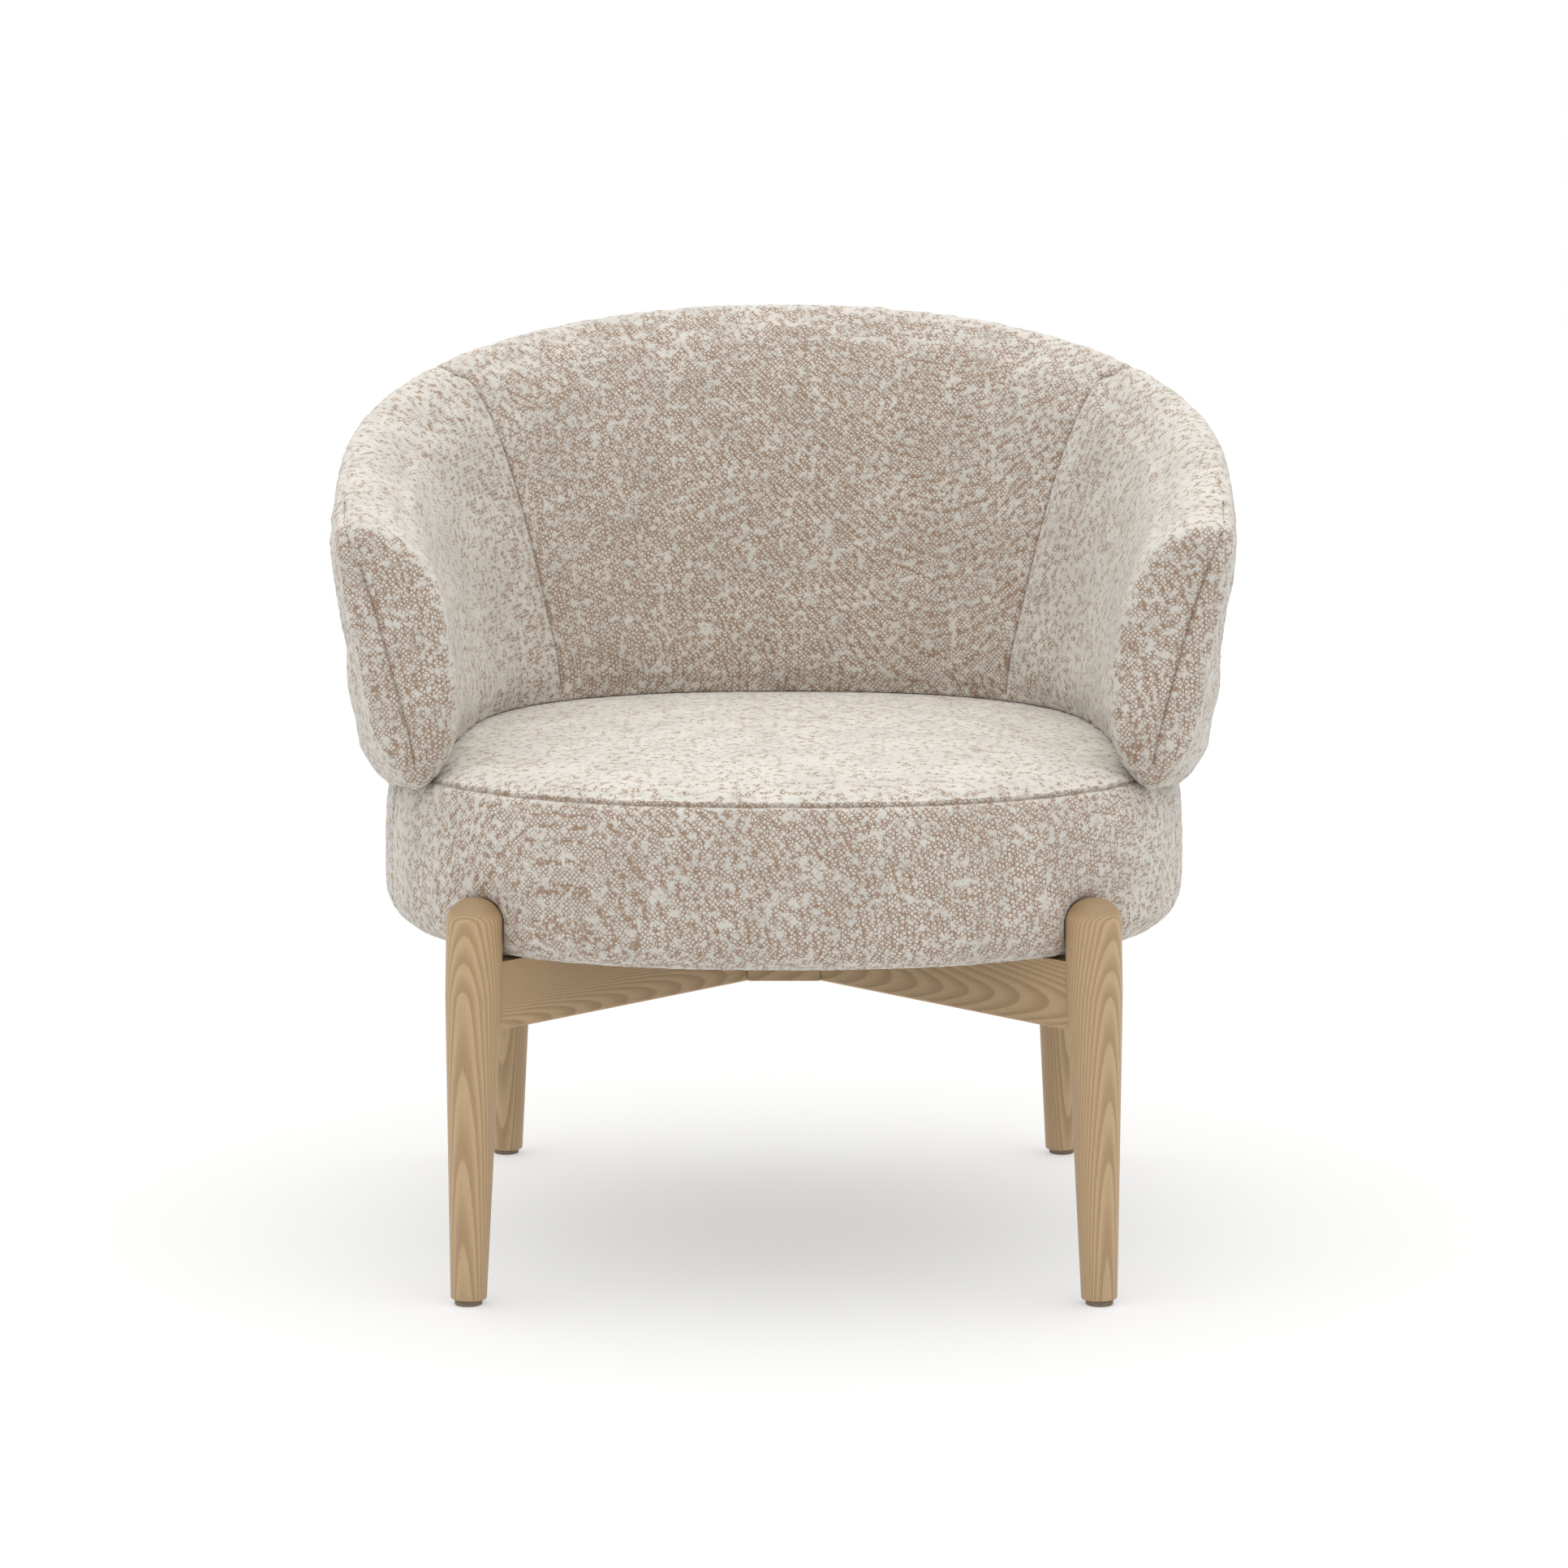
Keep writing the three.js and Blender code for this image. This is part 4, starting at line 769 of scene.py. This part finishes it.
def arm_back_seam(tree, side, bottom, top):
    """From the seat up the inner side and over the top, between back and arm."""
    middle = back_middle()
    longest_step = 60 * MM
    crest_step = 7 * MM
    crest_drop = 8 * MM
    line = []
    steps = 24
    for i in range(steps + 1):
        share = i / steps
        angle = side * (ARM_SEAM_LOW + (ARM_SEAM_HIGH - ARM_SEAM_LOW) * share)
        way = Vector((math.sin(angle), math.cos(angle), 0))
        start = middle + Vector((0, 0, bottom + (top - bottom) * share))
        spot = tree.ray_cast(start, way)[0]
        if spot is not None and (not line or (spot - line[-1]).length < longest_step):
            line.append(spot)
    angle = side * ARM_SEAM_HIGH
    way = Vector((math.sin(angle), math.cos(angle), 0))
    inner = (line[-1] - middle).to_2d().length
    crest = line[-1].z
    for i in range(1, 9):
        start = middle + way * (inner + i * crest_step) + Vector((0, 0, 1))
        spot = tree.ray_cast(start, Vector((0, 0, -1)))[0]
        if spot is not None and spot.z > crest - crest_drop:
            line.append(spot)
    return line


class CHAIR_OT_back(bpy.types.Operator):
    """Fills and upholsters the back with its arms"""
    bl_idname = "chair.back"
    bl_label = "Back and arms"

    def execute(self, context):
        scene = context.scene
        piece = joined_copy("back_rest", (*BACK_NODES, "back_shell"))
        # The slot that holds the shell is filled down to the seat.
        shell_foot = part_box("back_shell")[0].z
        slot_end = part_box("seat_cover_top")[0].z - 2 * MM
        points = read_points(piece.data)
        shell_points = {tuple(np.round(v.co, 5)) for v in frame["nodes"]["back_shell"].data.vertices
                        if v.co.z < shell_foot + 2 * MM}
        for i, point in enumerate(points):
            if tuple(np.round(point, 5)) in shell_points:
                points[i][2] = slot_end
        write_points(piece.data, points)
        piece = fuse(piece, scene.chair_padding.voxel)
        tree = surface(piece)
        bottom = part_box("seat_cover_top")[1].z
        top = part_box("back_cover_inner")[1].z
        seams = [crest_seam()]
        for side in SIDES.values():
            seams.append(arm_front_seam(tree, side))
            seams.append(arm_back_seam(tree, side, bottom, top))
        seat = bpy.data.objects["seat_cushion"]
        seat_tree = surface(seat)
        # Where the pad rests on the seat it stays put.
        held_reach = 12 * MM
        points = read_points(piece.data)
        fixed = np.zeros(len(points))
        for i in np.nonzero(points[:, 2] < bottom + 15 * MM)[0]:
            away = seat_tree.find_nearest(Vector(points[i]))[3]
            fixed[i] = 1 - min(1, away / held_reach)
        swell(piece, scene.chair_padding, seams, fixed)
        seams = [on_surface(piece, line) for line in seams]
        refine_along(piece, seams)
        upholster(piece, scene.chair_fabric, seams, [])
        keep_clear(piece, [seat], SEAT_GAP)
        finish_piece(piece, "back_rest", bpy.data.materials["Wool boucle"], "boucle", *BACK_NODES)
        return {"FINISHED"}


class CHAIR_OT_stitches(bpy.types.Operator):
    """Sews short stitches along the seams"""
    bl_idname = "chair.stitches"
    bl_label = "Stitches"

    def execute(self, context):
        fabric = context.scene.chair_fabric
        thread = sewing_thread(fabric)
        seat = bpy.data.objects["seat_cushion"]
        back = bpy.data.objects["back_rest"]
        _, uprights = seat_seams()
        tree = surface(back)
        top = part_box("back_cover_inner")[1].z
        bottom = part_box("seat_cover_top")[1].z
        sewn = {"seat_stitches": (seat, uprights), "back_stitches": (back, [
            seam for side in SIDES.values()
            for seam in (arm_front_seam(tree, side), arm_back_seam(tree, side, bottom, top))])}
        for name, (pad, lines) in sewn.items():
            pad_tree = surface(pad)
            parts = []
            for line in lines:
                spots = dense(line, fabric.stitch)
                for start, end in zip(spots, spots[1:]):
                    middle = (start + end) / 2
                    spot, normal, _, _ = pad_tree.find_nearest(middle)
                    parts.append((spot, normal, (end - start).normalized()))
            piece = self.sew(name, parts, fabric.stitch)
            finish_piece(piece, name, thread, "boucle")
        return {"FINISHED"}

    @staticmethod
    def sew(name, parts, pitch):
        """One thread loop, modelled once and copied to each stitch."""
        bpy.ops.object.select_all(action="DESELECT")
        bpy.ops.mesh.primitive_cylinder_add(
            vertices=8, radius=0.5 * MM, depth=pitch * 0.56, location=(0, 0, 0))
        loop = bpy.context.object
        apply_modifier(loop, "BEVEL", width=0.3 * MM, segments=2)
        shape = read_points(loop.data)
        faces = [tuple(p.vertices) for p in loop.data.polygons]
        bpy.data.objects.remove(loop)
        end_depth = 1.4 * MM
        points = []
        polygons = []
        for spot, normal, along in parts:
            across = normal.cross(along).normalized()
            base = len(points)
            for x, y, z in shape:
                # The ends of a stitch dive into the cloth.
                sink = end_depth * (2 * z / pitch) ** 2
                points.append(spot + across * x + normal * (y - sink) + along * z)
            polygons += [tuple(base + i for i in face) for face in faces]
        mesh = bpy.data.meshes.new(name)
        mesh.from_pydata(points, [], polygons)
        piece = bpy.data.objects.new(name, mesh)
        bpy.context.scene.collection.objects.link(piece)
        select_only(piece)
        bpy.ops.object.mode_set(mode="EDIT")
        bpy.ops.mesh.select_all(action="SELECT")
        bpy.ops.mesh.normals_make_consistent(inside=False)
        bpy.ops.object.mode_set(mode="OBJECT")
        return piece


# ---------------------------------------------------------------- base
def leg_measures(corner):
    """A leg's foot and tip, and its radii at foot and top, from its CAD node."""
    slice_height = 4 * MM
    shoulder_drop = 21 * MM
    points = read_points(frame["nodes"][f"leg_{corner}"].data)
    low = points[points[:, 2] < points[:, 2].min() + slice_height]
    foot = Vector((*((low.min(0) + low.max(0)) / 2)[:2], points[:, 2].min()))
    tip = Vector(points[points[:, 2].argmax()])
    shoulder = points[np.abs(points[:, 2] - (tip.z - shoulder_drop)) < slice_height]
    return foot, tip, np.ptp(low[:, 0]) / 2, np.ptp(shoulder[:, 0]) / 2


class CHAIR_OT_legs(bpy.types.Operator):
    """Turns the four legs"""
    bl_idname = "chair.legs"
    bl_label = "Legs"

    def execute(self, context):
        timber = context.scene.chair_timber
        for corner in CORNERS:
            foot, tip, foot_radius, top_radius = leg_measures(corner)
            axis = tip - foot
            piece = self.turn_leg(timber, axis.length, foot_radius, top_radius)
            piece.rotation_mode = "QUATERNION"
            piece.rotation_quaternion = Vector((0, 0, 1)).rotation_difference(axis)
            piece.location = foot
            bpy.ops.object.transform_apply(location=True, rotation=True, scale=True)
            # The heart of the tree lies behind the leg, so arched rings show on its front.
            inward = 1 if foot.x < 0 else -1
            heart = foot + Vector((9 * MM * inward, 34 * MM, 0))
            lean = Vector((0.012 * inward, -0.035, 1))
            wood = ash(timber, f"Oiled ash, leg {corner}", heart, lean)
            finish_piece(piece, f"leg_of_{corner}", wood, "ash", f"leg_{corner}")
        return {"FINISHED"}

    @staticmethod
    def turn_leg(timber, height, foot_radius, top_radius):
        """Extrudes a disc upward ring by ring: foot chamfer, taper, shoulder and dome."""
        shoulder_z = height - timber.dome
        taper_end = shoulder_z - timber.shoulder
        rings = [(timber.edge * 0.4, foot_radius - timber.edge * 0.35),
                 (timber.edge, foot_radius)]
        taper_steps = 6
        for i in range(1, taper_steps + 1):
            share = i / taper_steps
            rings.append((timber.edge + (taper_end - timber.edge) * share,
                          foot_radius + (top_radius - foot_radius) * share))
        rings.append((shoulder_z, top_radius))
        dome_steps = 14
        for i in range(1, dome_steps):
            turn = math.pi / 2 * i / dome_steps
            rings.append((shoulder_z + timber.dome * math.sin(turn),
                          top_radius * math.cos(turn)))
        bpy.ops.object.select_all(action="DESELECT")
        radius = foot_radius - timber.edge
        bpy.ops.mesh.primitive_circle_add(vertices=64, radius=radius, fill_type="NGON")
        piece = bpy.context.object
        bpy.ops.object.mode_set(mode="EDIT")
        bpy.ops.mesh.select_all(action="SELECT")
        level = 0
        for z, ring_radius in rings:
            bpy.ops.mesh.extrude_region_move(
                TRANSFORM_OT_translate={"value": (0, 0, z - level)})
            grow = ring_radius / radius
            bpy.ops.transform.resize(value=(grow, grow, 1), center_override=(0, 0, z))
            level, radius = z, ring_radius
        bpy.ops.mesh.select_all(action="SELECT")
        bpy.ops.mesh.normals_make_consistent(inside=False)
        bpy.ops.object.mode_set(mode="OBJECT")
        return piece


class CHAIR_OT_glides(bpy.types.Operator):
    """Makes the glides under the legs"""
    bl_idname = "chair.glides"
    bl_label = "Glides"

    def execute(self, context):
        plastic = glide_plastic()
        thickness = 4.5 * MM
        pin_radius = 4 * MM
        for corner in CORNERS:
            low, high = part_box(f"glide_{corner}")
            middle = (low + high) / 2
            radius = (high.x - low.x) / 2
            bpy.ops.object.select_all(action="DESELECT")
            bpy.ops.mesh.primitive_cylinder_add(
                vertices=48, radius=radius, depth=thickness,
                location=(middle.x, middle.y, thickness / 2))
            piece = context.object
            bpy.ops.object.transform_apply(location=True, rotation=True, scale=True)
            bpy.ops.object.mode_set(mode="EDIT")
            bpy.ops.mesh.select_all(action="DESELECT")
            bpy.ops.object.mode_set(mode="OBJECT")
            for polygon in piece.data.polygons:
                polygon.select = polygon.normal.z > 0.9
            bpy.ops.object.mode_set(mode="EDIT")
            bpy.ops.mesh.inset(thickness=radius - pin_radius)
            bpy.ops.mesh.extrude_region_move(
                TRANSFORM_OT_translate={"value": (0, 0, high.z - thickness)})
            bpy.ops.object.mode_set(mode="OBJECT")
            apply_modifier(piece, "BEVEL", width=0.7 * MM, segments=3, limit_method="ANGLE",
                           angle_limit=math.radians(40))
            finish_piece(piece, f"glide_under_{corner}", plastic, "glide", f"glide_{corner}")
        return {"FINISHED"}


class CHAIR_OT_rails(bpy.types.Operator):
    """Finishes the crossing rails and their corner blocks"""
    bl_idname = "chair.rails"
    bl_label = "Rails and blocks"

    def execute(self, context):
        timber = context.scene.chair_timber
        low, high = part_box("cross_rail_lower")
        middle = (low + high) / 2
        along = Vector((high.x - low.x, high.y - low.y, 0)).normalized()
        mirrored = Vector((along.x, -along.y, 0))
        up = Vector((0, 0, 1))
        # Each board is cut beside the heart of its tree, which runs a little askew to it.
        planks = {
            "cross_rail_lower": (along, 33 * MM),
            "cross_rail_upper": (mirrored, 38 * MM),
            "corner_block_front": (Vector((1, 0, 0)), 30 * MM),
            "corner_block_rear": (Vector((1, 0, 0)), 34 * MM),
            "corner_block_left": (Vector((0, 1, 0)), 31 * MM),
            "corner_block_right": (Vector((0, 1, 0)), 35 * MM),
        }
        for name, (length_way, depth) in planks.items():
            piece = frame["nodes"][name]
            sideways = up.cross(length_way)
            heart = middle + sideways * depth - up * 14 * MM
            askew = length_way + sideways * 0.05 + up * 0.035
            give_material(piece, ash(timber, f"Oiled ash, {name}", heart, askew))
            weld = piece.modifiers.new("Weld", "WELD")
            weld.merge_threshold = WELD_DISTANCE
            rounding = piece.modifiers.new("Rounding", "BEVEL")
            rounding.width = timber.edge
            rounding.segments = 3
            rounding.limit_method = "ANGLE"
            rounding.angle_limit = math.radians(35)
            rounding.harden_normals = True
        return {"FINISHED"}


class CHAIR_OT_inner(bpy.types.Operator):
    """Gives the frame, webbing, fittings and lining their finishes"""
    bl_idname = "chair.inner"
    bl_label = "Inner parts"

    def execute(self, context):
        finishes = {"plywood": plywood(), "webbing": webbing(), "lining": lining(),
                    "steel": zinc()}
        slots = {row["node"]: row["material_slot"] for row in frame["record"]["subparts"]}
        for name, slot in slots.items():
            if slot in finishes:
                give_material(frame["nodes"][name], finishes[slot])
        return {"FINISHED"}


# ---------------------------------------------------------------- stage
FLOOR_SIZE = 24
SENSOR_WIDTH = 36


class CHAIR_OT_stage(bpy.types.Operator):
    """Sets up floor, light and camera"""
    bl_idname = "chair.stage"
    bl_label = "Stage"

    def execute(self, context):
        scene = context.scene
        stage = scene.chair_stage
        scene.view_settings.view_transform = "Standard"
        bpy.ops.object.select_all(action="DESELECT")
        bpy.ops.mesh.primitive_plane_add(size=FLOOR_SIZE, location=(0, 0, 0))
        floor = context.object
        floor.name = "studio_floor"
        give_material(floor, light_table(stage))
        self.light_room(scene, stage)
        bpy.ops.object.camera_add(
            location=(0, -stage.distance, stage.height),
            rotation=(math.pi / 2 - stage.tilt, 0, 0))
        camera = context.object
        camera.data.lens = stage.lens
        camera.data.sensor_width = SENSOR_WIDTH
        scene.camera = camera
        return {"FINISHED"}

    @staticmethod
    def light_room(scene, stage):
        """A white studio: softly lit walls, a bright ceiling, and plain white behind the chair."""
        world = bpy.data.worlds.new("Studio")
        world.use_nodes = True
        tree = world.node_tree
        tree.nodes.clear()
        up = node(tree, "ShaderNodeSeparateXYZ",
                  links={0: node(tree, "ShaderNodeTexCoord").outputs["Generated"]})
        strength = ramp(tree, up.outputs["Z"], 0.35, 1, stage.sky, stage.ceiling)
        light = node(tree, "ShaderNodeBackground", {"Color": (1, 0.995, 0.985, 1)},
                     {"Strength": strength})
        white = node(tree, "ShaderNodeBackground", {"Color": (1, 1, 1, 1), "Strength": 1})
        path = node(tree, "ShaderNodeLightPath")
        seen = node(tree, "ShaderNodeMixShader", links={
            0: path.outputs["Is Camera Ray"], 1: light.outputs[0], 2: white.outputs[0]})
        node(tree, "ShaderNodeOutputWorld", links={"Surface": seen.outputs[0]})
        scene.world = world


# ---------------------------------------------------------------- panel and registration
STEPS = ("legs", "glides", "rails", "inner", "seat", "back", "stitches", "stage")
SETTINGS = {"chair_fabric": ChairFabric, "chair_padding": ChairPadding,
            "chair_timber": ChairTimber, "chair_stage": ChairStage}


class CHAIR_PT_panel(bpy.types.Panel):
    """Lists the steps that make the chair"""
    bl_idname = "CHAIR_PT_panel"
    bl_label = "Armchair"
    bl_space_type = "VIEW_3D"
    bl_region_type = "UI"
    bl_category = "Armchair"

    def draw(self, context):
        for name, group in SETTINGS.items():
            box = self.layout.box()
            box.label(text=group.__doc__)
            for key in group.__annotations__:
                box.prop(getattr(context.scene, name), key)
        for step in STEPS:
            self.layout.operator(f"chair.{step}")


CLASSES = (*SETTINGS.values(), CHAIR_OT_legs, CHAIR_OT_glides, CHAIR_OT_rails, CHAIR_OT_inner,
           CHAIR_OT_seat, CHAIR_OT_back, CHAIR_OT_stitches, CHAIR_OT_stage, CHAIR_PT_panel)


def register():
    for item in CLASSES:
        bpy.utils.register_class(item)
    for name, group in SETTINGS.items():
        setattr(bpy.types.Scene, name, PointerProperty(type=group))


def unregister():
    for name in SETTINGS:
        delattr(bpy.types.Scene, name)
    for item in reversed(CLASSES):
        bpy.utils.unregister_class(item)


def main():
    """Makes the chair."""
    register()
    for step in STEPS:
        getattr(bpy.ops.chair, step)()


if __name__ == "__main__":
    main()
